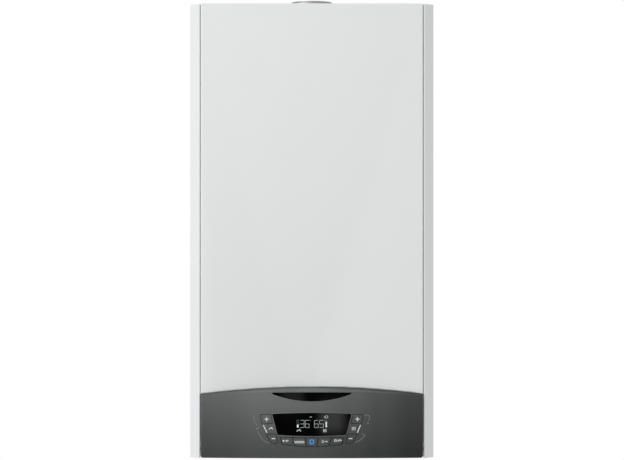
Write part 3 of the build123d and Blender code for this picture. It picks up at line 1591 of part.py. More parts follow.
# Ignition and flame-sensing leads between the spark generator and the electrodes
lead_runs = []
for port_rise, electrode_height in zip(reversed(spark_ports), electrode_heights):
    port_height = spark_low + port_rise
    tip = door_front + electrode_length - 4
    lead_runs.append(pipe(
        [
            (spark_middle, spark_front + spark_port_length, port_height),
            (spark_middle, spark_front + 34, port_height),
            (spark_middle + 3, tip - 12, port_height + 30),
            (spark_middle + 6, tip, electrode_height - 25),
            (spark_middle + 30, tip, electrode_height),
            (electrode_x - electrode_radius - side_fit, tip, electrode_height),
        ],
        lead_radius,
    ))
with BuildPart() as wiring:
    for run in lead_runs:
        add(run)
wiring.part.label = "wiring"
export_step(wiring.part, "parts/wiring.step")

# Screws and nuts that show when the cover is off: burner door, collar, top panel, cross rail and hinges
with BuildPart() as casing_screws:
    for number in range(nut_count):
        nut = Vector(nut_circle, 0, 0).rotate(Axis.Z, (number + 0.5) * 360 / nut_count)
        forward(exchanger_x + nut.X, exchanger_height + nut.Y, door_front, door_front + nut_thickness,
                screw_head)
    for side in (-1, 1):
        for reach in (collar_screw_inset - collar_flange_depth, collar_flange_depth - collar_screw_inset):
            upright(side * (collar_flange - collar_screw_inset), flue_depth + reach,
                    panel_top + collar_plate, panel_top + collar_plate + head_height, screw_head)
        for x in top_screws:
            upright(side * x, frame_face + top_screw_inset, panel_top, panel_top + head_height, screw_head)
        for height in (rail_bottom + rail_screw_inset, rail_top - rail_screw_inset):
            forward(side * (rail_half - small_head_inset), height, rail_front, rail_front + head_height,
                    small_head)
        for height in bracket_screws:
            under = inner - bracket_plate
            sideways(*sorted((side * under, side * (under - head_height))), hinge_depth - 1, height,
                     small_head)
casing_screws.part.label = "casing_screws"
export_step(casing_screws.part, "parts/casing_screws.step")
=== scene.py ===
import json
import math

import bmesh
import bpy
from mathutils import Matrix, Vector
from mathutils.bvhtree import BVHTree


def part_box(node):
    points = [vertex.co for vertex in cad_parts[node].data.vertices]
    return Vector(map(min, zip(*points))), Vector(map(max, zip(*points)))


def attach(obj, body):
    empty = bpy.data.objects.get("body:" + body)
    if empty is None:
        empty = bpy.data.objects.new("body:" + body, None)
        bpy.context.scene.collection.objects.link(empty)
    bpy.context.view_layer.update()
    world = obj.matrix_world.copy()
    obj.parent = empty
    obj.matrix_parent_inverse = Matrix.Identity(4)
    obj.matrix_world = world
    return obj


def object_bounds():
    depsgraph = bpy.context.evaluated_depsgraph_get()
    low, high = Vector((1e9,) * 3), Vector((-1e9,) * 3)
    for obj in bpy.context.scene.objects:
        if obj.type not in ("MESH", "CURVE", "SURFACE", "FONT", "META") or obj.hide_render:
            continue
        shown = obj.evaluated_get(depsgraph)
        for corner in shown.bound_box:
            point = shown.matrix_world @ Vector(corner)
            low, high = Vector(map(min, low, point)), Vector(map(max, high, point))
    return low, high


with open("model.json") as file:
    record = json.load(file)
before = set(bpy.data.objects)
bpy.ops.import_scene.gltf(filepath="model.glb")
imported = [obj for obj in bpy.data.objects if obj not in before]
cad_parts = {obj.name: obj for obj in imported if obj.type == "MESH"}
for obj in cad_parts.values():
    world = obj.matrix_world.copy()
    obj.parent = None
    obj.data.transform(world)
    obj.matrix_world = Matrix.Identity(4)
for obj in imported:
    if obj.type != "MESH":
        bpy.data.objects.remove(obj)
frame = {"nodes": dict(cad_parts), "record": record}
nodes = frame["nodes"]
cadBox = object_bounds()
print("frame loaded:", len(nodes), "nodes")

mm = 0.001
casingBottom = round(cadBox[0][2], 4)  # the casing's bottom edge, below the wall screws

# Camera, level and square to the front
camera = {
    "distance": 4.0,  # from the cover to the lens
    "coverDepth": 0.307,
    "eyeHeight": 0.3737,  # above the casing's bottom
    "aside": 0.0003,
    "frameWidth": 1.0221,  # what the picture spans at the cover
    "sensor": 36.0,
    "clipEnd": 60.0,
}


def makeCamera(c):
    data = bpy.data.cameras.new("photoCamera")
    data.sensor_width = c["sensor"]
    data.lens = c["sensor"] * c["distance"] / c["frameWidth"]
    data.clip_end = c["clipEnd"]
    cam = bpy.data.objects.new("photoCamera", data)
    bpy.context.scene.collection.objects.link(cam)
    cam.location = (c["aside"], -(c["coverDepth"] + c["distance"]), casingBottom + c["eyeHeight"])
    cam.rotation_euler = (math.radians(90), 0, 0)
    bpy.context.scene.camera = cam


makeCamera(camera)
bpy.context.scene.view_settings.view_transform = "Standard"
print("camera ready")


# Small helpers for shader nodes
def addNode(tree, kind, inputs=None, **settings):
    made = tree.nodes.new("ShaderNode" + kind)
    for name, value in settings.items():  # a group's tree comes before its inputs
        setattr(made, name, value)
    for name, value in (inputs or {}).items():
        if isinstance(value, bpy.types.NodeSocket):
            tree.links.new(value, made.inputs[name])
        else:
            made.inputs[name].default_value = value
    return made


def mixColours(tree, share, first, second):
    mix = addNode(tree, "Mix", data_type="RGBA")
    for index, value in ((0, share), (6, first), (7, second)):
        if isinstance(value, bpy.types.NodeSocket):
            tree.links.new(value, mix.inputs[index])
        else:
            mix.inputs[index].default_value = value
    return mix.outputs[2]


def mapRange(tree, value, low, high, toLow, toHigh):
    made = addNode(tree, "MapRange", {"From Min": low, "From Max": high, "To Min": toLow, "To Max": toHigh})
    tree.links.new(value, made.inputs["Value"])
    return made.outputs["Result"]


def maths(tree, operation, first, second=0.0):
    made = addNode(tree, "Math", operation=operation)
    for index, value in ((0, first), (1, second)):
        if isinstance(value, bpy.types.NodeSocket):
            tree.links.new(value, made.inputs[index])
        else:
            made.inputs[index].default_value = value
    return made.outputs[0]


# Studio: white all round, a soft lamp from the upper left and a pale floor
studio = {
    "ambient": 0.70,
    "keyPlace": (-2.6, -3.0, 0.9),
    "keySize": (1.8, 2.4),
    "keyPower": 48.0,
    "keyAim": (0, -0.3, -0.3),
    "floorHeight": -1.02,
    "floorHalf": 9.0,
    "floorColour": (0.90, 0.90, 0.90, 1),
    "floorFade": (1.1, 2.6),
}


def makeWorld(s):
    world = bpy.data.worlds.new("studioWorld")
    bpy.context.scene.world = world
    world.use_nodes = True
    tree = world.node_tree
    tree.nodes.clear()
    ray = addNode(tree, "LightPath")
    seen = maths(tree, "MAXIMUM", ray.outputs["Is Camera Ray"], ray.outputs["Is Glossy Ray"])
    seen = maths(tree, "MAXIMUM", seen, ray.outputs["Is Transmission Ray"])
    light = addNode(tree, "Background", {"Color": (1, 1, 1, 1), "Strength": s["ambient"]})
    white = addNode(tree, "Background", {"Color": (1, 1, 1, 1), "Strength": 1.0})
    mix = addNode(tree, "MixShader", {0: seen, 1: light.outputs[0], 2: white.outputs[0]})
    out = addNode(tree, "OutputWorld")
    tree.links.new(mix.outputs[0], out.inputs["Surface"])


def makeLamp(name, place, size, power, aim):
    data = bpy.data.lights.new(name, "AREA")
    data.shape = "RECTANGLE"
    data.size, data.size_y = size
    data.energy = power
    lamp = bpy.data.objects.new(name, data)
    bpy.context.scene.collection.objects.link(lamp)
    lamp.location = place
    lamp.rotation_euler = (Vector(aim) - Vector(place)).to_track_quat("-Z", "Y").to_euler()
    return lamp


def makeFloor(s):
    data = bpy.data.meshes.new("studioFloor")
    half, z = s["floorHalf"], s["floorHeight"]
    corners = [(-half, -half, z), (half, -half, z), (half, half, z), (-half, half, z)]
    data.from_pydata(corners, [], [(0, 1, 2, 3)])
    floor = bpy.data.objects.new("studioFloor", data)
    bpy.context.scene.collection.objects.link(floor)
    material = bpy.data.materials.new("floorPale")
    material.use_nodes = True
    tree = material.node_tree
    tree.nodes.clear()
    place = addNode(tree, "NewGeometry")
    distance = addNode(tree, "VectorMath", {0: place.outputs["Position"]}, operation="LENGTH")
    nearFloor = mapRange(tree, distance.outputs["Value"], s["floorFade"][0], s["floorFade"][1], 0.0, 1.0)
    ray = addNode(tree, "LightPath")
    fade = maths(tree, "MULTIPLY", nearFloor, ray.outputs["Is Camera Ray"])
    plain = addNode(tree, "BsdfDiffuse", {"Color": s["floorColour"]})
    white = addNode(tree, "Emission", {"Color": (1, 1, 1, 1), "Strength": 1.0})
    top = addNode(tree, "MixShader", {0: fade, 1: plain.outputs[0], 2: white.outputs[0]})
    clear = addNode(tree, "BsdfTransparent")
    sides = addNode(tree, "MixShader", {
        0: place.outputs["Backfacing"], 1: top.outputs[0], 2: clear.outputs[0]})
    out = addNode(tree, "OutputMaterial")
    tree.links.new(sides.outputs[0], out.inputs["Surface"])
    data.materials.append(material)


# A dark card in front of the panel that only glossy surfaces mirror, with two soft pale windows
lensCard = {
    "left": -0.75, "right": 1.05,
    "low": -1.01, "high": -0.42,
    "depth": 1.7,
    "base": 0.02,
    "tone": (0.95, 1.0, 0.97, 1),
    "windows": (
        # centre x, centre z, half width, half height, soft edge across, soft edge up, brightness
        (0.093, -0.731, 0.034, 0.017, 0.038, 0.020, 1.0),
        (-0.088, -0.684, 0.036, 0.020, 0.022, 0.008, 0.36),
    ),
}


def makeLensCard(c):
    data = bpy.data.meshes.new("lensCard")
    corners = ((c["left"], c["low"]), (c["right"], c["low"]), (c["right"], c["high"]), (c["left"], c["high"]))
    data.from_pydata([(x, -c["depth"], z) for x, z in corners], [], [(0, 1, 2, 3)])
    card = bpy.data.objects.new("lensCard", data)
    bpy.context.scene.collection.objects.link(card)
    material = bpy.data.materials.new("cardWindow")
    material.use_nodes = True
    tree = material.node_tree
    tree.nodes.clear()
    place = addNode(tree, "NewGeometry")
    axes = addNode(tree, "SeparateXYZ", {0: place.outputs["Position"]})
    bright = c["base"]
    for x, z, halfWidth, halfHeight, softAcross, softUp, strength in c["windows"]:
        across = maths(tree, "ABSOLUTE", maths(tree, "SUBTRACT", axes.outputs["X"], x))
        up = maths(tree, "ABSOLUTE", maths(tree, "SUBTRACT", axes.outputs["Z"], z))
        share = maths(tree, "MULTIPLY", mapRange(tree, across, halfWidth, halfWidth + softAcross, 1.0, 0.0),
                      mapRange(tree, up, halfHeight, halfHeight + softUp, 1.0, 0.0))
        bright = maths(tree, "ADD", maths(tree, "MULTIPLY", share, strength), bright)
    glow = addNode(tree, "Emission", {"Color": c["tone"], "Strength": bright})
    out = addNode(tree, "OutputMaterial")
    tree.links.new(glow.outputs[0], out.inputs["Surface"])
    data.materials.append(material)
    card.visible_camera = card.visible_diffuse = card.visible_shadow = card.visible_transmission = False


makeWorld(studio)
makeLamp("keyLamp", studio["keyPlace"], studio["keySize"], studio["keyPower"], studio["keyAim"])
makeFloor(studio)
makeLensCard(lensCard)
print("studio ready")


# Effects that several materials share, with the inputs that each finish gives a value
effectInputs = {
    "skin": ("Colour", "Tint", "Size", "Patches", "Roughness", "Spread"),
    "grain": ("Colour", "Tint", "Stretch", "Size", "Patches", "Roughness", "Spread"),
    "spangle": ("Colour", "Tint", "Size", "Roughness", "Spread"),
}
effectOutputs = ("Colour", "Roughness", "Height")
socketKinds = {"Colour": "NodeSocketColor", "Tint": "NodeSocketColor", "Stretch": "NodeSocketVector"}


def newGroup(name, inputs, outputs):
    tree = bpy.data.node_groups.new(name, "ShaderNodeTree")
    for side, sockets in (("INPUT", inputs), ("OUTPUT", outputs)):
        for socket in sockets:
            kind = socketKinds.get(socket, "NodeSocketFloat")
            tree.interface.new_socket(socket, in_out=side, socket_type=kind)
    return tree, tree.nodes.new("NodeGroupInput").outputs, tree.nodes.new("NodeGroupOutput").inputs


def scaleBySize(tree, given, texture):
    tree.links.new(maths(tree, "DIVIDE", 1.0, given["Size"]), texture.inputs["Scale"])


def patchyColour(tree, given, result, patch):
    share = maths(tree, "MULTIPLY", patch, given["Patches"])
    tree.links.new(mixColours(tree, share, given["Colour"], given["Tint"]), result["Colour"])


def unevenRoughness(tree, given, result, mask):
    swing = maths(tree, "MULTIPLY", maths(tree, "SUBTRACT", mask, 0.5), given["Spread"])
    tree.links.new(maths(tree, "ADD", swing, given["Roughness"]), result["Roughness"])


def skinGroup():
    # fine all-over texture: moulded plastic, orange peel in paint, cast metal
    tree, given, result = newGroup("surfaceSkin", effectInputs["skin"], effectOutputs)
    place = addNode(tree, "TexCoord").outputs["Object"]
    fine = addNode(tree, "TexNoise", {"Vector": place, "Detail": 3.0, "Roughness": 0.55})
    scaleBySize(tree, given, fine)
    broad = addNode(tree, "TexNoise", {"Vector": place, "Scale": 9.0, "Detail": 4.0, "Roughness": 0.6})
    patch = mapRange(tree, broad.outputs["Fac"], 0.35, 0.75, 0.0, 1.0)
    patchyColour(tree, given, result, patch)
    unevenRoughness(tree, given, result, patch)
    tree.links.new(fine.outputs["Fac"], result["Height"])
    return tree


def grainGroup():
    # long scratches along one axis, as on drawn, rolled or brushed metal
    tree, given, result = newGroup("metalGrain", effectInputs["grain"], effectOutputs)
    place = addNode(tree, "TexCoord").outputs["Object"]
    along = addNode(tree, "VectorMath", {0: place, 1: given["Stretch"]}, operation="MULTIPLY")
    lines = addNode(tree, "TexNoise", {"Vector": along.outputs[0], "Detail": 4.0, "Roughness": 0.6})
    scaleBySize(tree, given, lines)
    broad = addNode(tree, "TexNoise", {"Vector": place, "Scale": 22.0, "Detail": 5.0, "Roughness": 0.65})
    patchyColour(tree, given, result, mapRange(tree, broad.outputs["Fac"], 0.4, 0.7, 0.0, 1.0))
    unevenRoughness(tree, given, result, lines.outputs["Fac"])
    tree.links.new(lines.outputs["Fac"], result["Height"])
    return tree


def spangleGroup():
    # zinc flowers on hot-dipped sheet
    tree, given, result = newGroup("zincSpangle", effectInputs["spangle"], effectOutputs)
    place = addNode(tree, "TexCoord").outputs["Object"]
    bent = addNode(tree, "TexNoise", {"Vector": place, "Scale": 60.0, "Detail": 2.0})
    pushed = addNode(tree, "VectorMath", {0: bent.outputs["Color"], 1: (0.004, 0.004, 0.004)},
                     operation="MULTIPLY")
    moved = addNode(tree, "VectorMath", {0: place, 1: pushed.outputs[0]}, operation="ADD")
    cells = addNode(tree, "TexVoronoi", {"Vector": moved.outputs[0]}, feature="F1")
    scaleBySize(tree, given, cells)
    shade = addNode(tree, "SeparateColor", {0: cells.outputs["Color"]}).outputs[0]
    tree.links.new(mixColours(tree, shade, given["Colour"], given["Tint"]), result["Colour"])
    unevenRoughness(tree, given, result, shade)
    tree.links.new(maths(tree, "MULTIPLY", shade, 0.3), result["Height"])
    return tree


# Painted sheen on the panel's satin paint: its colour is scaled palest above and left of its middle, a
# painted highlight, and darker towards the foot and the right, painted shade
panelPaintedSheen = {
    "across": (-0.182, 0.182),
    "up": (casingBottom + 0.011, casingBottom + 0.103),
    "foot": 0.80, "head": 1.72,
    "ramp": ((0.0, 0.68), (0.09, 0.78), (0.27, 1.0), (0.5, 0.98),
             (0.68, 0.76), (0.81, 0.57), (0.95, 0.38), (1.0, 0.36)),
}


# scales a colour by a ramp across the panel and a factor up it: painted highlight and painted shade, not the
# paint's own colour
def paintedSheenGroup(s):
    tree, given, result = newGroup("panelPaintedSheen", ("Colour",), ("Colour",))
    axes = addNode(tree, "SeparateXYZ", {0: addNode(tree, "TexCoord").outputs["Object"]})
    ramp = addNode(tree, "ValToRGB", {"Fac": mapRange(tree, axes.outputs["X"], *s["across"], 0.0, 1.0)})
    ramp.color_ramp.interpolation = "EASE"
    while len(ramp.color_ramp.elements) < len(s["ramp"]):
        ramp.color_ramp.elements.new(0.5)
    for element, (place, value) in zip(ramp.color_ramp.elements, s["ramp"]):
        element.position = place
        element.color = (value, value, value, 1)
    # painted shade towards the foot, painted highlight towards the head
    height = mapRange(tree, axes.outputs["Z"], *s["up"], s["foot"], s["head"])
    lit = addNode(tree, "VectorMath", {0: given["Colour"]}, operation="SCALE")
    shade = addNode(tree, "SeparateColor", {0: ramp.outputs["Color"]}).outputs[0]
    tree.links.new(maths(tree, "MULTIPLY", shade, height), lit.inputs["Scale"])
    tree.links.new(lit.outputs[0], result["Colour"])
    return tree


groups = {
    "skin": skinGroup(), "grain": grainGroup(), "spangle": spangleGroup(), "paintedSheen": paintedSheenGroup(panelPaintedSheen),
}
print("effects ready")

# finishes whose colour takes the panel's painted highlight and painted shade
paintedSheenFinishes = ("dark_fascia", "dark_keys", "paintedEdgeGlint")


def principled(name, group, values, bump, shader):
    # one material: a shared effect feeds colour, roughness and bump, plain numbers go on the shader
    material = bpy.data.materials.new(name)
    material.use_nodes = True
    tree = material.node_tree
    bsdf = tree.nodes["Principled BSDF"]
    effect = addNode(tree, "Group", node_tree=groups[group])
    for key, value in values.items():
        effect.inputs[key].default_value = value
    tree.links.new(effect.outputs["Colour"], bsdf.inputs["Base Color"])
    tree.links.new(effect.outputs["Roughness"], bsdf.inputs["Roughness"])
    if bump:
        relief = addNode(tree, "Bump", {
            "Strength": 1.0, "Distance": bump, "Height": effect.outputs["Height"]})
        tree.links.new(relief.outputs["Normal"], bsdf.inputs["Normal"])
    for key, value in shader.items():
        bsdf.inputs[key].default_value = value
    # painted highlight and shade: the panel's painted sheen scales this finish's colour
    if name in paintedSheenFinishes:
        paintedSheen = addNode(tree, "Group", {"Colour": effect.outputs["Colour"]}, node_tree=groups["paintedSheen"])
        tree.links.new(paintedSheen.outputs["Colour"], bsdf.inputs["Base Color"])
    return material


def grey(value, warm=0.0):
    return (value * (1 + warm), value, value * (1 - warm), 1)


# Finishes: the effect's values in the order of its inputs, the bump's height in metres and the
# shader's own values
finishes = {
    "skin": {
        "white_paint": ((0.800, 0.806, 0.812, 1), (0.785, 0.790, 0.792, 1), 0.0016, 0.5, 0.36, 0.04,
            0.000004, {"Specular IOR Level": 0.45}),
        "dark_fascia": ((0.115, 0.120, 0.118, 1), (0.104, 0.109, 0.107, 1), 0.0005, 0.6, 0.42, 0.05,
            0.000006, {"Metallic": 0.55, "Specular IOR Level": 0.5}),
        "dark_keys": ((0.112, 0.117, 0.115, 1), (0.104, 0.109, 0.107, 1), 0.0005, 0.6, 0.42, 0.05,
            0.000006, {"Metallic": 0.55, "Specular IOR Level": 0.5}),
        "gloss_black": (grey(0.0008), grey(0.001), 0.02, 0.4, 0.07, 0.02, 0, {"Specular IOR Level": 0.5}),
        "black_plastic": (grey(0.022), grey(0.032), 0.0007, 0.6, 0.50, 0.10, 0.00004, {}),
        "grey_plastic": (grey(0.24), grey(0.19), 0.0008, 0.6, 0.48, 0.10, 0.00003, {}),
        "pale_plastic": (grey(0.62, 0.01), grey(0.54, 0.02), 0.0008, 0.6, 0.44, 0.10, 0.00003, {}),
        "red_plastic": ((0.50, 0.018, 0.012, 1), (0.36, 0.012, 0.010, 1), 0.0009, 0.6, 0.38, 0.10,
            0.00002, {}),
        "blue_plastic": ((0.015, 0.07, 0.36, 1), (0.012, 0.05, 0.25, 1), 0.0009, 0.6, 0.38, 0.10, 0.00002,
            {}),
        "black_rubber": (grey(0.018), grey(0.035), 0.0012, 0.8, 0.72, 0.15, 0.00006,
            {"Specular IOR Level": 0.3}),
        "seal_foam": (grey(0.045), grey(0.07), 0.0015, 0.7, 0.90, 0.08, 0.0004,
            {"Specular IOR Level": 0.2}),
        "red_paint": ((0.42, 0.012, 0.010, 1), (0.33, 0.010, 0.008, 1), 0.002, 0.6, 0.28, 0.10, 0.00003,
            {"Coat Weight": 0.3}),
        "lead_sleeve": ((0.55, 0.11, 0.02, 1), (0.42, 0.08, 0.015, 1), 0.002, 0.6, 0.42, 0.08, 0.00002,
            {}),
        "clear_dial": (grey(0.03), grey(0.04), 0.001, 0.5, 0.40, 0.08, 0.00002, {}),
        "cast_aluminium": (grey(0.52), grey(0.40), 0.0014, 0.7, 0.50, 0.14, 0.00012, {"Metallic": 1.0}),
        "green_board": ((0.010, 0.11, 0.035, 1), (0.020, 0.16, 0.055, 1), 0.0011, 0.9, 0.34, 0.12,
            0.00003, {"Coat Weight": 0.2}),
        "printPale": (grey(0.72), grey(0.66), 0.0006, 0.4, 0.5, 0.05, 0.000004, {}),
        "printFaint": (grey(0.26), grey(0.22), 0.0006, 0.4, 0.5, 0.05, 0.000004, {}),
        # a pale finish for lines of painted highlight where an edge would catch the light; it also takes the
        # panel's painted sheen
        "paintedEdgeGlint": (grey(0.17), grey(0.15), 0.0006, 0.4, 0.42, 0.05, 0.000004, {"Metallic": 0.5}),
    },
    "grain": {
        "steel": (grey(0.52), grey(0.38), (1.0, 0.2, 1.0), 0.0006, 0.4, 0.32, 0.20, 0.00001,
            {"Metallic": 1.0}),
        "stainless": (grey(0.60, 0.01), (0.44, 0.40, 0.36, 1), (1.0, 0.05, 1.0), 0.0010, 0.5, 0.28, 0.22,
            0.000015, {"Metallic": 1.0}),
        "brass": ((0.62, 0.42, 0.16, 1), (0.42, 0.26, 0.10, 1), (1.0, 1.0, 0.15), 0.0012, 0.6, 0.34, 0.20,
            0.00002, {"Metallic": 1.0}),
        "copper": ((0.68, 0.31, 0.18, 1), (0.40, 0.17, 0.10, 1), (1.0, 1.0, 0.1), 0.0015, 0.7, 0.30, 0.20,
            0.00001, {"Metallic": 1.0}),
        "flueSteel": (grey(0.36), grey(0.29), (1.0, 1.0, 0.1), 0.0010, 0.5, 0.52, 0.16, 0.000015,
            {"Metallic": 1.0}),
    },
    "spangle": {
        "galvanised_steel": (grey(0.60), grey(0.47), 0.009, 0.40, 0.16, 0.00002, {"Metallic": 1.0}),
    },
}

# Lit characters and the power key's ring: colour and strength
glows = {
    "displayLit": ((0.65, 0.68, 0.68, 1), 0.30),
    "displaySoft": ((0.38, 0.40, 0.40, 1), 0.22),
    "displayDim": ((0.13, 0.145, 0.15, 1), 0.15),
    "powerBlue": ((0.05, 0.24, 0.50, 1), 0.22),
    "powerDeep": ((0.008, 0.07, 0.22, 1), 0.2),
}
glowRoughness = 0.4


def glowing(name, colour, strength):
    material = bpy.data.materials.new(name)
    material.use_nodes = True
    bsdf = material.node_tree.nodes["Principled BSDF"]
    bsdf.inputs["Base Color"].default_value = colour
    bsdf.inputs["Roughness"].default_value = glowRoughness
    bsdf.inputs["Emission Color"].default_value = colour
    bsdf.inputs["Emission Strength"].default_value = strength
    return material


materials = {}
for effectName, rows in finishes.items():
    for finishName, (*values, bumpHeight, shaderValues) in rows.items():
        given = dict(zip(effectInputs[effectName], values))
        materials[finishName] = principled(finishName, effectName, given, bumpHeight, shaderValues)
for glowName, (colour, strength) in glows.items():
    materials[glowName] = glowing(glowName, colour, strength)
print("materials ready:", len(materials))


# CAD nodes: smooth where the metal is smooth, sharp at the folds, with the record's finish
nodeFinish = {
    "weld": 0.00001,
    "sharpAngle": 28.0,
    "own": {"flue_duct": "flueSteel"},  # nodes with a duller steel than their slot's
}


def dressNodes(f):
    slotOf = {part["node"]: part["material_slot"] for part in frame["record"]["subparts"]}
    for name, piece in nodes.items():
        mesh = piece.data
        if "custom_normal" in mesh.attributes:
            mesh.attributes.remove(mesh.attributes["custom_normal"])
        mesh.polygons.foreach_set("use_smooth", [True] * len(mesh.polygons))
        mesh.materials.clear()
        mesh.materials.append(materials[f["own"].get(name, slotOf[name])])
        mesh.polygons.foreach_set("material_index", [0] * len(mesh.polygons))
        weld = piece.modifiers.new("weld", "WELD")
        weld.merge_threshold = f["weld"]
        split = piece.modifiers.new("folds", "EDGE_SPLIT")
        split.split_angle = math.radians(f["sharpAngle"])
        split.use_edge_sharp = False


dressNodes(nodeFinish)
print("nodes dressed")


# Prints and lit characters lie on a node's front face, a hair proud of it and let into it
printLift = 0.00006
printSink = 0.00012
mitreLimit = 0.5  # how far a sharp corner may stretch: the least cosine it is divided by


def surfaceFinder(nodeName):
    bm = bmesh.new()
    bm.from_mesh(nodes[nodeName].data)
    tree = BVHTree.FromBMesh(bm)
    bm.free()
    last = [nodes[nodeName].data.vertices[0].co.y]

    def find(x, z):
        hit = tree.ray_cast(Vector((x, -1, z)), Vector((0, 1, 0)))[0]
        if hit:
            last[0] = hit.y
        return last[0]

    return find


def onFace(find, point, lift):
    x, z = point[0] * mm, casingBottom + point[1] * mm
    return Vector((x, find(x, z) - lift, z))


def closePrism(bm, front, back):
    bm.faces.new(front)
    bm.faces.new(back[::-1])
    for i in range(len(front)):
        j = (i + 1) % len(front)
        bm.faces.new((front[i], back[i], back[j], front[j]))


def circle(centre, radius, sides):
    turns = [2 * math.pi * i / sides for i in range(sides)]
    return [(centre[0] + radius * math.cos(t), centre[1] + radius * math.sin(t)) for t in turns]


def placed(shape, centre, size=1.0):
    return [(centre[0] + a * size, centre[1] + b * size) for a, b in shape]


def crossOutline(arm, half):
    return [(-arm, -half), (-half, -half), (-half, -arm), (half, -arm), (half, -half), (arm, -half),
            (arm, half), (half, half), (half, arm), (-half, arm), (-half, half), (-arm, half)]


def addPatch(bm, find, outline, lift=printLift, sink=printSink):
    front = [bm.verts.new(onFace(find, point, lift)) for point in outline]
    back = [bm.verts.new(v.co + Vector((0, sink, 0))) for v in front]
    closePrism(bm, front, back)


def addLine(bm, find, points, width, closed=False, lift=printLift, sink=printSink):
    # a ribbon of even width along the points
    count = len(points)
    rows = []
    for i, point in enumerate(points):
        here = Vector(point)
        before = Vector(points[i - 1]) if i or closed else here
        after = Vector(points[(i + 1) % count]) if i < count - 1 or closed else here
        first = (here - before).normalized() if here != before else (after - here).normalized()
        second = (after - here).normalized() if after != here else first
        along = (first + second).normalized()
        side = Vector((-along.y, along.x)) * width / 2 / max(mitreLimit, along.dot(first))
        edges = [here + side, here - side]
        front = [bm.verts.new(onFace(find, e, lift)) for e in edges]
        rows.append(front + [bm.verts.new(v.co + Vector((0, sink, 0))) for v in front[::-1]])
    for i in range(count if closed else count - 1):
        a, b = rows[i], rows[(i + 1) % count]
        for j in range(4):
            k = (j + 1) % 4
            bm.faces.new((a[j], a[k], b[k], b[j]))
    if not closed:
        bm.faces.new(rows[0][::-1])
        bm.faces.new(rows[-1])


def addDot(bm, find, centre, radius, sides=20):
    addPatch(bm, find, circle(centre, radius, sides))


def addRing(bm, find, centre, radius, width, sides=32, **more):
    addLine(bm, find, circle(centre, radius, sides), width, closed=True, **more)


def finishPiece(bm, name, material, body):
    bmesh.ops.recalc_face_normals(bm, faces=bm.faces)
    data = bpy.data.meshes.new(name)
    bm.to_mesh(data)
    bm.free()
    data.materials.append(materials[material])
    piece = bpy.data.objects.new(name, data)
    bpy.context.scene.collection.objects.link(piece)
    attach(piece, body)
    return piece


# Display: two numbers, level bars and small pictograms, lit behind the lens
display = {
    "digitSize": (6.4, 11.7),
    "stroke": 0.62,
    "leftDigits": ((-18.9, 57.0, "3"), (-10.6, 57.0, "6")),
    "rightDigits": ((4.3, 57.0, "6"), (12.7, 57.0, "5")),
    "levels": (
        # centre x, foot, lit up to, outlined up to, number of lit blocks
        (-22.9, 51.2, 55.9, 63.3, 1),
        (23.6, 51.6, 60.4, 63.3, 4),
    ),
    "levelGap": 0.5, "levelWidth": 2.6,
    "outlineGap": 0.8, "outlineLine": 0.45,
    "degrees": ((-2.6, 62.9), (21.0, 62.9)), "degreeRing": (0.8, 0.4),
    "tap": ((-21.2, 46.2), 2.9, 1.5),
    "radiator": ((21.3, 46.0), 2.5, 1.35),
    "flame": ((-3.8, 68.0), (-2.3, 69.3), (-1.5, 68.4), (0.4, 69.5), (-0.4, 67.7)),
    "pumpRing": ((24.1, 68.4), 2.0, 0.8), "pumpDot": ((20.9, 67.8), 1.0),
    "segmentGap": 0.35,  # a share of the stroke
}
segments = {"3": "abgcd", "6": "afgedc", "5": "afgcd"}


def addDigit(bm, find, left, middle, figure, d):
    width, height = d["digitSize"]
    gap = d["stroke"] * d["segmentGap"]
    right, top, bottom = left + width, middle + height / 2, middle - height / 2
    runs = {
        "a": ((left + gap, top), (right - gap, top)), "g": ((left + gap, middle), (right - gap, middle)),
        "d": ((left + gap, bottom), (right - gap, bottom)), "b": ((right, top - gap), (right, middle + gap)),
        "c": ((right, middle - gap), (right, bottom + gap)), "f": ((left, top - gap), (left, middle + gap)),
        "e": ((left, middle - gap), (left, bottom + gap)),
    }
    for letter in segments[figure]:
        addLine(bm, find, runs[letter], d["stroke"])


# Pictograms that the display and the fascia share, drawn round their middle at a size of one
tapSpout = [(-1.1, -0.55), (-0.7, 0.1), (0.3, 0.35), (0.85, 0), (1, -0.5)]
tapHandle = [(0.1, 0.7), (0.7, 0.7)]
tapHandleLine = 0.6
radiatorBars = (-0.85, 0, 0.85)
radiatorRail = [(-1.2, 0.5), (1.2, 0.5)]
radiatorRailLine = 0.5


def addTap(bm, find, centre, size, line):
    addLine(bm, find, placed(tapSpout, centre, size), line)
    addLine(bm, find, placed(tapHandle, centre, size), line * tapHandleLine)


def addRadiator(bm, find, centre, size, line):
    for across in radiatorBars:
        addLine(bm, find, placed([(across, -1), (across, 1)], centre, size), line)
    addLine(bm, find, placed(radiatorRail, centre, size), line * radiatorRailLine)


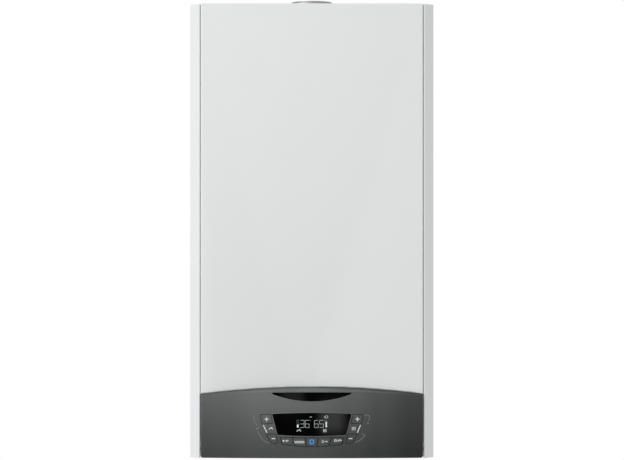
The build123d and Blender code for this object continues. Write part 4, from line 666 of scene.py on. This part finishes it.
def makeDisplay(d):
    find = surfaceFinder("display_window")
    bm = bmesh.new()
    for left, middle, figure in d["leftDigits"] + d["rightDigits"]:
        addDigit(bm, find, left, middle, figure, d)
    addTap(bm, find, *d["tap"])
    addRadiator(bm, find, *d["radiator"])
    addPatch(bm, find, d["flame"])
    addRing(bm, find, *d["pumpRing"])
    addDot(bm, find, *d["pumpDot"])
    finishPiece(bm, "display_characters", "displaySoft", "dashboard")
    half = d["levelWidth"] / 2
    bm = bmesh.new()
    for x, low, high, _, count in d["levels"]:
        step = (high - low + d["levelGap"]) / count
        for i in range(count):
            foot = low + i * step
            head = foot + step - d["levelGap"]
            addPatch(bm, find, [(x - half, foot), (x + half, foot), (x + half, head), (x - half, head)])
    finishPiece(bm, "display_levels", "displayLit", "dashboard")
    bm = bmesh.new()
    for x, _, high, top, _ in d["levels"]:
        foot = high + d["outlineGap"]
        addLine(bm, find, [(x - half, foot), (x - half, top), (x + half, top), (x + half, foot)],
                d["outlineLine"])
    for place in d["degrees"]:
        addRing(bm, find, place, *d["degreeRing"], sides=16)
    finishPiece(bm, "display_outlines", "displayDim", "dashboard")


# Frame round the display: a narrow pale line, a painted highlight where an edge would catch the light
windowEdge = {
    "topHalf": 64.6, "bottomHalf": 55.9, "top": 73.0, "bottom": 39.3, "crown": 1.9, "sag": 2.1,
    "gap": 0.6, "width": 0.7, "steps": 24,
    "lift": 0.00018, "sink": 0.0005,
}


def bow(left, right, level, rise, steps):
    # a shallow arc between two x values, rising in the middle
    points = []
    for i in range(steps + 1):
        share = i / steps
        points.append((left + (right - left) * share, level + rise * (1 - (2 * share - 1) ** 2)))
    return points


def makeWindowEdge(w):
    find = surfaceFinder("fascia")
    grow = w["gap"] + w["width"] / 2
    top = bow(-w["topHalf"] - grow, w["topHalf"] + grow, w["top"] + grow, w["crown"], w["steps"])
    bottom = bow(w["bottomHalf"] + grow, -w["bottomHalf"] - grow, w["bottom"] - grow, -w["sag"], w["steps"])
    bm = bmesh.new()
    addLine(bm, find, top + bottom, w["width"], closed=True, lift=w["lift"], sink=w["sink"])
    finishPiece(bm, "display_edge_painted_highlight", "paintedEdgeGlint", "dashboard")


# Rims round the key openings: a narrow dark line of painted shadow where a step's shade would fall, with a
# pale line of painted highlight outside it
paintedKeyRims = {
    "corners": ([(-83.8, 71.6), (-67.3, 72.4), (-64.6, 57.9), (-80.8, 57.3)],
                [(-74.0, 40.1), (-59.0, 40.1), (-55.8, 25.6), (-62.0, 24.8), (-68.0, 28.2)]),
    "rowTop": (-54.1, 54.1, 35.0, -1.0), "rowBottom": (-51.2, 51.2, 24.6, -4.5),
    "gap": 0.6, "dark": 0.45, "pale": 0.4, "steps": 20,
}


def grown(points, distance):
    # the outline pushed outwards by a distance; the points run clockwise
    made = []
    for i, point in enumerate(points):
        here = Vector(point)
        first = (here - Vector(points[i - 1])).normalized()
        second = (Vector(points[(i + 1) % len(points)]) - here).normalized()
        out = (Vector((-first.y, first.x)) + Vector((-second.y, second.x))).normalized()
        made.append(tuple(here + out * distance / max(mitreLimit, out.dot(Vector((-first.y, first.x))))))
    return made


def makePaintedKeyRims(r):
    outlines = []
    for points in r["corners"]:
        outlines += [points, [(-x, z) for x, z in reversed(points)]]
    left, right, level, rise = r["rowTop"]
    row = bow(left, right, level, rise, r["steps"])
    left, right, level, rise = r["rowBottom"]
    outlines.append(row + bow(right, left, level, rise, r["steps"]))
    find = surfaceFinder("fascia")
    # the dark ribbon is painted shadow, the pale ribbon painted highlight
    for name, material, near, width in (("key_rims_painted_shadow", "gloss_black", r["gap"], r["dark"]),
                                        ("key_rims_painted_highlight", "paintedEdgeGlint", r["gap"] + r["dark"], r["pale"])):
        bm = bmesh.new()
        for outline in outlines:
            addLine(bm, find, grown(outline, near + width / 2), width, closed=True)
        finishPiece(bm, name, material, "dashboard")


# Fixed marks on the fascia: bars, pictograms between the keys and the thin brackets beside them
marks = {
    "bars": (((-79.2, 54.9), (-73.3, 42.7)), ((79.5, 54.9), (74.3, 42.5))),
    "barWidth": 1.5,
    "tap": ((-66.9, 49.3), 2.8, 1.3),
    "radiator": ((68.4, 49.2), 2.8, 0.9),
    "leftBracket": [(-93.2, 70.3), (-95.5, 67.0), (-93.9, 62.6), (-91.4, 57.9), (-89.8, 53.8)],
    "leftTick": [(-91.0, 47.3), (-88.8, 49.6), (-86.5, 51.5)],
    "leftFoot": [(-88.3, 44.5), (-84.3, 37.3), (-79.5, 30.0), (-75.8, 27.7), (-68.9, 26.2)],
    "rightBracket": [(85.6, 71.1), (91.4, 71.1), (94.2, 69.6), (93.4, 61.8)],
    "rightDot": ((91.8, 58.0), 1.1),
    "rightTick": [(81.7, 40.6), (87.2, 38.1), (85.2, 35.7)],
    "rightFoot": [(85.2, 35.7), (77.1, 29.1), (70.5, 27.0)],
    "thin": 0.7, "tickLine": 1.3,
}


def makeMarks(m):
    find = surfaceFinder("fascia")
    bm = bmesh.new()
    for bar in m["bars"]:
        addLine(bm, find, bar, m["barWidth"])
    finishPiece(bm, "panel_bars", "printPale", "dashboard")
    bm = bmesh.new()
    addTap(bm, find, *m["tap"])
    addRadiator(bm, find, *m["radiator"])
    finishPiece(bm, "panel_pictograms", "printPale", "dashboard")
    bm = bmesh.new()
    for name in ("leftBracket", "leftFoot", "rightBracket", "rightFoot", "rightTick"):
        addLine(bm, find, m[name], m["thin"])
    addLine(bm, find, m["leftTick"], m["tickLine"])
    addDot(bm, find, *m["rightDot"])
    finishPiece(bm, "panel_brackets", "printFaint", "dashboard")


# Marks that travel with the keys, each drawn round its own middle
keyMarks = {
    "plusSize": 6.6, "plusLine": 1.4,
    "minusSize": 5.8, "minusLine": 1.5,
    "plus": {"hot_water": (-74.0, 64.7), "heating": (74.6, 64.7)},
    "minus": {"hot_water": (-62.7, 33.0), "heating": (63.4, 33.0)},
    "power": (0.0, 27.8), "ringOuter": 4.2, "ringInner": 2.3, "centreGap": 0.05,
}
wave = {"start": -8.6, "step": 0.72, "height": 0.9, "turn": 1.05, "points": 25}
warmWave = [(wave["start"] + i * wave["step"], wave["height"] * math.sin(i * wave["turn"]))
            for i in range(wave["points"])]
rowMarks = {
    # a dot and a short list
    "menu": {"at": (-43.0, 29.6), "dots": [((-3.2, -0.3), 1.5)],
             "lines": [([(0.2, -1.0), (4.4, -0.7)], 0.9), ([(0.2, 0.4), (5.0, 0.7)], 0.9)]},
    # a row of warm waves
    "comfort": {"at": (-20.7, 28.0), "lines": [(warmWave, 1.2), ([(-8.0, -2.0), (8.2, -2.0)], 0.7)]},
    # a clock face with an arrow beside it
    "auto": {"at": (20.7, 28.2), "rings": [((-2.8, 0), 1.6, 0.8)], "lines": [([(0.2, 0), (4.4, 0)], 0.9)],
             "patches": [[(3.4, -1.5), (5.4, 0), (3.4, 1.5)]]},
    # a bell with a stroke and a base line
    "reset": {"at": (42.6, 30.0),
              "lines": [([(-5.8, -1.2), (-4.8, 1.4), (-3.0, 1.4), (-2.0, -1.2)], 0.9),
                        ([(-6.2, -1.5), (6.2, -0.2)], 1.0), ([(0.4, 0.9), (5.6, 1.1)], 0.9)]},
}


def keyPiece(bm, key, name, material="printPale"):
    finishPiece(bm, name, material, key + "_key")


def makeKeyMarks(k):
    for side in ("hot_water", "heating"):
        key = side + "_plus"
        bm = bmesh.new()
        cross = crossOutline(k["plusSize"] / 2, k["plusLine"] / 2)
        addPatch(bm, surfaceFinder(key + "_button"), placed(cross, k["plus"][side]))
        keyPiece(bm, key, key + "_mark")
        key = side + "_minus"
        reach = k["minusSize"] / 2
        bm = bmesh.new()
        stroke = placed([(-reach, 0), (reach, 0)], k["minus"][side])
        addLine(bm, surfaceFinder(key + "_button"), stroke, k["minusLine"])
        keyPiece(bm, key, key + "_mark")


def makeRowMarks(marksByKey):
    for key, mark in marksByKey.items():
        find, at = surfaceFinder(key + "_button"), mark["at"]
        bm = bmesh.new()
        for centre, radius in mark.get("dots", ()):
            addDot(bm, find, placed([centre], at)[0], radius)
        for centre, radius, line in mark.get("rings", ()):
            addRing(bm, find, placed([centre], at)[0], radius, line, sides=20)
        for points, line in mark.get("lines", ()):
            addLine(bm, find, placed(points, at), line)
        for outline in mark.get("patches", ()):
            addPatch(bm, find, placed(outline, at))
        keyPiece(bm, key, key + "_mark")


def makePowerRing(k):
    find = surfaceFinder("power_button")
    outer, inner = k["ringOuter"], k["ringInner"]
    bm = bmesh.new()
    addRing(bm, find, k["power"], (outer + inner) / 2, outer - inner, sides=40)
    keyPiece(bm, "power", "power_ring", "powerBlue")
    bm = bmesh.new()
    addDot(bm, find, k["power"], inner - k["centreGap"], sides=32)
    keyPiece(bm, "power", "power_centre", "powerDeep")


# Pressure gauge: a pale dial in the recess under the casing, read from below
gaugeDial = {
    "recess": 5.0,
    "radius": 17.2, "hole": 2.6, "thickness": 0.3,
    "sweep": 135, "top": 4, "stepsEach": 5,
    "tickEnd": 16.0, "longTick": 3.0, "shortTick": 1.6, "tickLine": 0.45,
    "numberRadius": 9.6, "numberSize": 2.2, "numberLine": 0.42,
    "discSink": 0.95,  # a share of the thickness
    "inkLift": 0.00005, "inkSink": 0.0001,
}
figureMiddle = (0.5, 0.8)
figures = {
    0: [(0.5, 0), (0.85, 0.25), (1, 0.8), (0.85, 1.35), (0.5, 1.6), (0.15, 1.35), (0, 0.8), (0.15, 0.25),
        (0.5, 0)],
    1: [(0.25, 1.25), (0.6, 1.6), (0.6, 0)],
    2: [(0.05, 1.25), (0.3, 1.6), (0.75, 1.6), (0.95, 1.2), (0.05, 0), (1, 0)],
    3: [(0.05, 1.4), (0.4, 1.6), (0.85, 1.4), (0.85, 1.05), (0.45, 0.85), (0.95, 0.6), (0.9, 0.2),
        (0.45, 0), (0, 0.2)],
    4: [(0.7, 0), (0.7, 1.6), (0, 0.5), (1, 0.5)],
}


def makeGaugeDial(g):
    low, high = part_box("pressure_gauge")
    middle = Vector(((low[0] + high[0]) / 2, (low[1] + high[1]) / 2, low[2] + g["recess"] * mm))
    facingDown = Matrix(((-1, 0, 0), (0, 0, 1), (0, 1, 0)))  # the drawing's top lies towards the wall

    def flat(x, z):
        return 0.0

    def lay(bm, name, material):
        for vert in bm.verts:
            vert.co = facingDown @ (vert.co - Vector((0, 0, casingBottom))) + middle
        finishPiece(bm, name, material, "root")

    disc = g["thickness"] * mm
    bm = bmesh.new()
    addRing(bm, flat, (0, 0), (g["radius"] + g["hole"]) / 2, g["radius"] - g["hole"], sides=48,
            lift=disc, sink=disc * g["discSink"])
    lay(bm, "gauge_dial_face", "pale_plastic")
    bm = bmesh.new()
    ink = {"lift": disc + g["inkLift"], "sink": g["inkSink"]}
    count = g["top"] * g["stepsEach"]
    for i in range(count + 1):
        turn = math.radians(g["sweep"] * (2 * i / count - 1))
        length = g["shortTick"] if i % g["stepsEach"] else g["longTick"]
        ends = [(r * math.sin(turn), r * math.cos(turn)) for r in (g["tickEnd"], g["tickEnd"] - length)]
        addLine(bm, flat, ends, g["tickLine"], **ink)
    for number, strokes in figures.items():
        turn = math.radians(g["sweep"] * (2 * number / g["top"] - 1))
        centre = (g["numberRadius"] * math.sin(turn), g["numberRadius"] * math.cos(turn))
        strokes = [(a - figureMiddle[0], b - figureMiddle[1]) for a, b in strokes]
        addLine(bm, flat, placed(strokes, centre, g["numberSize"]), g["numberLine"], **ink)
    lay(bm, "gauge_dial_scale", "black_plastic")


# Screw heads: flat dark patches of painted shade standing for a cross recess in the thin ones and a hexagonal
# recess in the thick ones
screwRecessShade = {
    "arm": 0.58, "line": 0.17, "socket": 0.52,  # shares of the head's radius
    "thick": 0.004, "weld": 0.00001, "flats": 6,
    "lift": 0.00005, "sink": 0.0003,
}


def looseParts(bm):
    # the corners of each separate piece, in the mesh's own order, which is the same each run
    seen, parts = set(), []
    for first in bm.verts:
        if first in seen:
            continue
        seen.add(first)
        reach, part = [first], []
        while reach:
            vert = reach.pop()
            part.append(vert.co.copy())
            for edge in vert.link_edges:
                other = edge.other_vert(vert)
                if other not in seen:
                    seen.add(other)
                    reach.append(other)
        parts.append(part)
    return parts


def makeScrewRecessShades(s):
    source = bmesh.new()
    source.from_mesh(nodes["casing_screws"].data)
    bmesh.ops.remove_doubles(source, verts=source.verts, dist=s["weld"])
    bm = bmesh.new()
    for part in looseParts(source):
        low = Vector([min(co[i] for co in part) for i in range(3)])
        high = Vector([max(co[i] for co in part) for i in range(3)])
        size, middle = high - low, (low + high) / 2
        axis = min(range(3), key=lambda i: size[i])
        outward = Vector((0, 0, 0))
        outward[axis] = (-math.copysign(1, middle.x), -1, 1)[axis]  # to the middle, the room or the top
        across = outward.orthogonal().normalized()
        up = outward.cross(across)
        radius = max(size) / 2
        face = middle + outward * (size[axis] / 2 + s["lift"])
        if size[axis] > s["thick"]:
            outline = circle((0, 0), s["socket"], s["flats"])
        else:
            outline = crossOutline(s["arm"], s["line"])
        # a flat dark patch on the head, painted shade where the recess would be
        front = [bm.verts.new(face + (across * u + up * v) * radius) for u, v in outline]
        back = [bm.verts.new(vert.co - outward * s["sink"]) for vert in front]
        closePrism(bm, front, back)
    source.free()
    finishPiece(bm, "screw_recess_painted_shade", "black_plastic", "root")


# Hose clamps: a steel band with its tightening screw, at both ends of each hose
hoseClamps = {
    "vessel_hose": {"radius": 5.0, "inset": 9.0},
    "condensate_hose": {"radius": 8.0, "inset": 10.0},
    "bandHalf": 3.2, "band": 0.7, "bite": 0.1, "sides": 40,
    "screw": (5.0, 2.6), "screwSides": 12,
    "screwSeat": 0.6,  # how far the screw stands out, as a share of its radius
}


def addTube(bm, centre, axis, inner, outer, halfLength, sides):
    # a closed ring with square edges, or a plain bar where the inner radius is zero
    across = axis.orthogonal().normalized()
    up = axis.cross(across)
    section = [(outer, -halfLength), (outer, halfLength)]
    if inner:
        section += [(inner, halfLength), (inner, -halfLength)]
    rings = []
    for radius, along in section:
        turns = [2 * math.pi * i / sides for i in range(sides)]
        rings.append([bm.verts.new(centre + axis * along + (across * math.cos(t) + up * math.sin(t)) * radius)
                      for t in turns])
    spans = list(zip(rings, rings[1:] + rings[:1])) if inner else [(rings[0], rings[1])]
    for a, b in spans:
        for i in range(sides):
            j = (i + 1) % sides
            bm.faces.new((a[i], a[j], b[j], b[i]))
    if not inner:
        bm.faces.new(rings[0])
        bm.faces.new(rings[1])


def makeHoseClamps(h):
    bm = bmesh.new()
    for hose in ("vessel_hose", "condensate_hose"):
        low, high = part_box(hose)
        radius, inset = h[hose]["radius"] * mm, h[hose]["inset"] * mm
        leftX, rightX = low[0] + radius, high[0] - radius
        ends = ((rightX, high[1] - radius, high[2] - inset), (leftX, low[1] + radius, low[2] + inset))
        for place in ends:
            centre = Vector(place)
            band = radius + h["band"] * mm
            addTube(bm, centre, Vector((0, 0, 1)), radius - h["bite"] * mm, band,
                    h["bandHalf"] * mm, h["sides"])
            length, thick = h["screw"]
            front = centre + Vector((0, -band - thick * mm * h["screwSeat"], 0))
            addTube(bm, front, Vector((1, 0, 0)), 0, thick * mm, length * mm, h["screwSides"])
    finishPiece(bm, "hose_clamps", "steel", "root")


# Cooling ribs on the two motors
motorRibs = {
    "proud": 1.2, "half": 0.6, "sink": 0.4,
    "taper": 0.6,  # the top's width as a share of the foot's
    # the fan's motor stands on its foot; its plug leaves a gap in the ring of ribs
    "fan": {"radius": 38.0, "count": 40, "gapAt": 180, "gapHalf": 26,
            "flange": 44.0, "foot": 7.0, "head": 9.0},
    # the pump's motor faces the room, with its terminal box below
    "pump": {"radius": 43.0, "count": 44, "gapAt": 270, "gapHalf": 62,
             "back": 8.0, "front": 8.0, "plug": 3.0},
}


def addRib(bm, base, out, side, along, m):
    # a flat bar standing on the motor's skin
    section = ((-m["sink"], -m["half"]), (-m["sink"], m["half"]),
               (m["proud"], m["half"] * m["taper"]), (m["proud"], -m["half"] * m["taper"]))
    front = [bm.verts.new(base + out * reach * mm + side * across * mm) for reach, across in section]
    back = [bm.verts.new(vert.co + along) for vert in front]
    closePrism(bm, front, back)


def addRibs(name, centre, across, up, along, motor, m):
    # ribs all round the motor, which turn from across to up, but for the gap
    bm = bmesh.new()
    for i in range(motor["count"]):
        turn = 2 * math.pi * i / motor["count"]
        if abs(math.degrees(turn) - motor["gapAt"]) < motor["gapHalf"]:
            continue
        out = across * math.cos(turn) + up * math.sin(turn)
        side = along.normalized().cross(out)
        addRib(bm, centre + out * motor["radius"] * mm, out, side, along, m)
    finishPiece(bm, name, "black_plastic", "root")


def makeMotorRibs(m):
    right, back, top = Vector((1, 0, 0)), Vector((0, 1, 0)), Vector((0, 0, 1))
    low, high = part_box("fan_motor")
    fan = m["fan"]
    centre = Vector((high[0] - fan["flange"] * mm, (low[1] + high[1]) / 2, low[2] + fan["foot"] * mm))
    length = high[2] - low[2] - (fan["foot"] + fan["head"]) * mm
    addRibs("fan_motor_ribs", centre, right, back, top * length, fan, m)
    low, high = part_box("pump_motor")
    pump = m["pump"]
    centre = Vector(((low[0] + high[0]) / 2, high[1] - pump["back"] * mm, high[2] - pump["radius"] * mm))
    length = high[1] - low[1] - (pump["back"] + pump["front"] + pump["plug"]) * mm
    addRibs("pump_motor_ribs", centre, right, top, -back * length, pump, m)


makeGaugeDial(gaugeDial)
makeScrewRecessShades(screwRecessShade)
makeHoseClamps(hoseClamps)
makeMotorRibs(motorRibs)
print("inner details made")

makeDisplay(display)
makeWindowEdge(windowEdge)
makePaintedKeyRims(paintedKeyRims)
makeMarks(marks)
makeKeyMarks(keyMarks)
makeRowMarks(rowMarks)
makePowerRing(keyMarks)
print("panel printed")
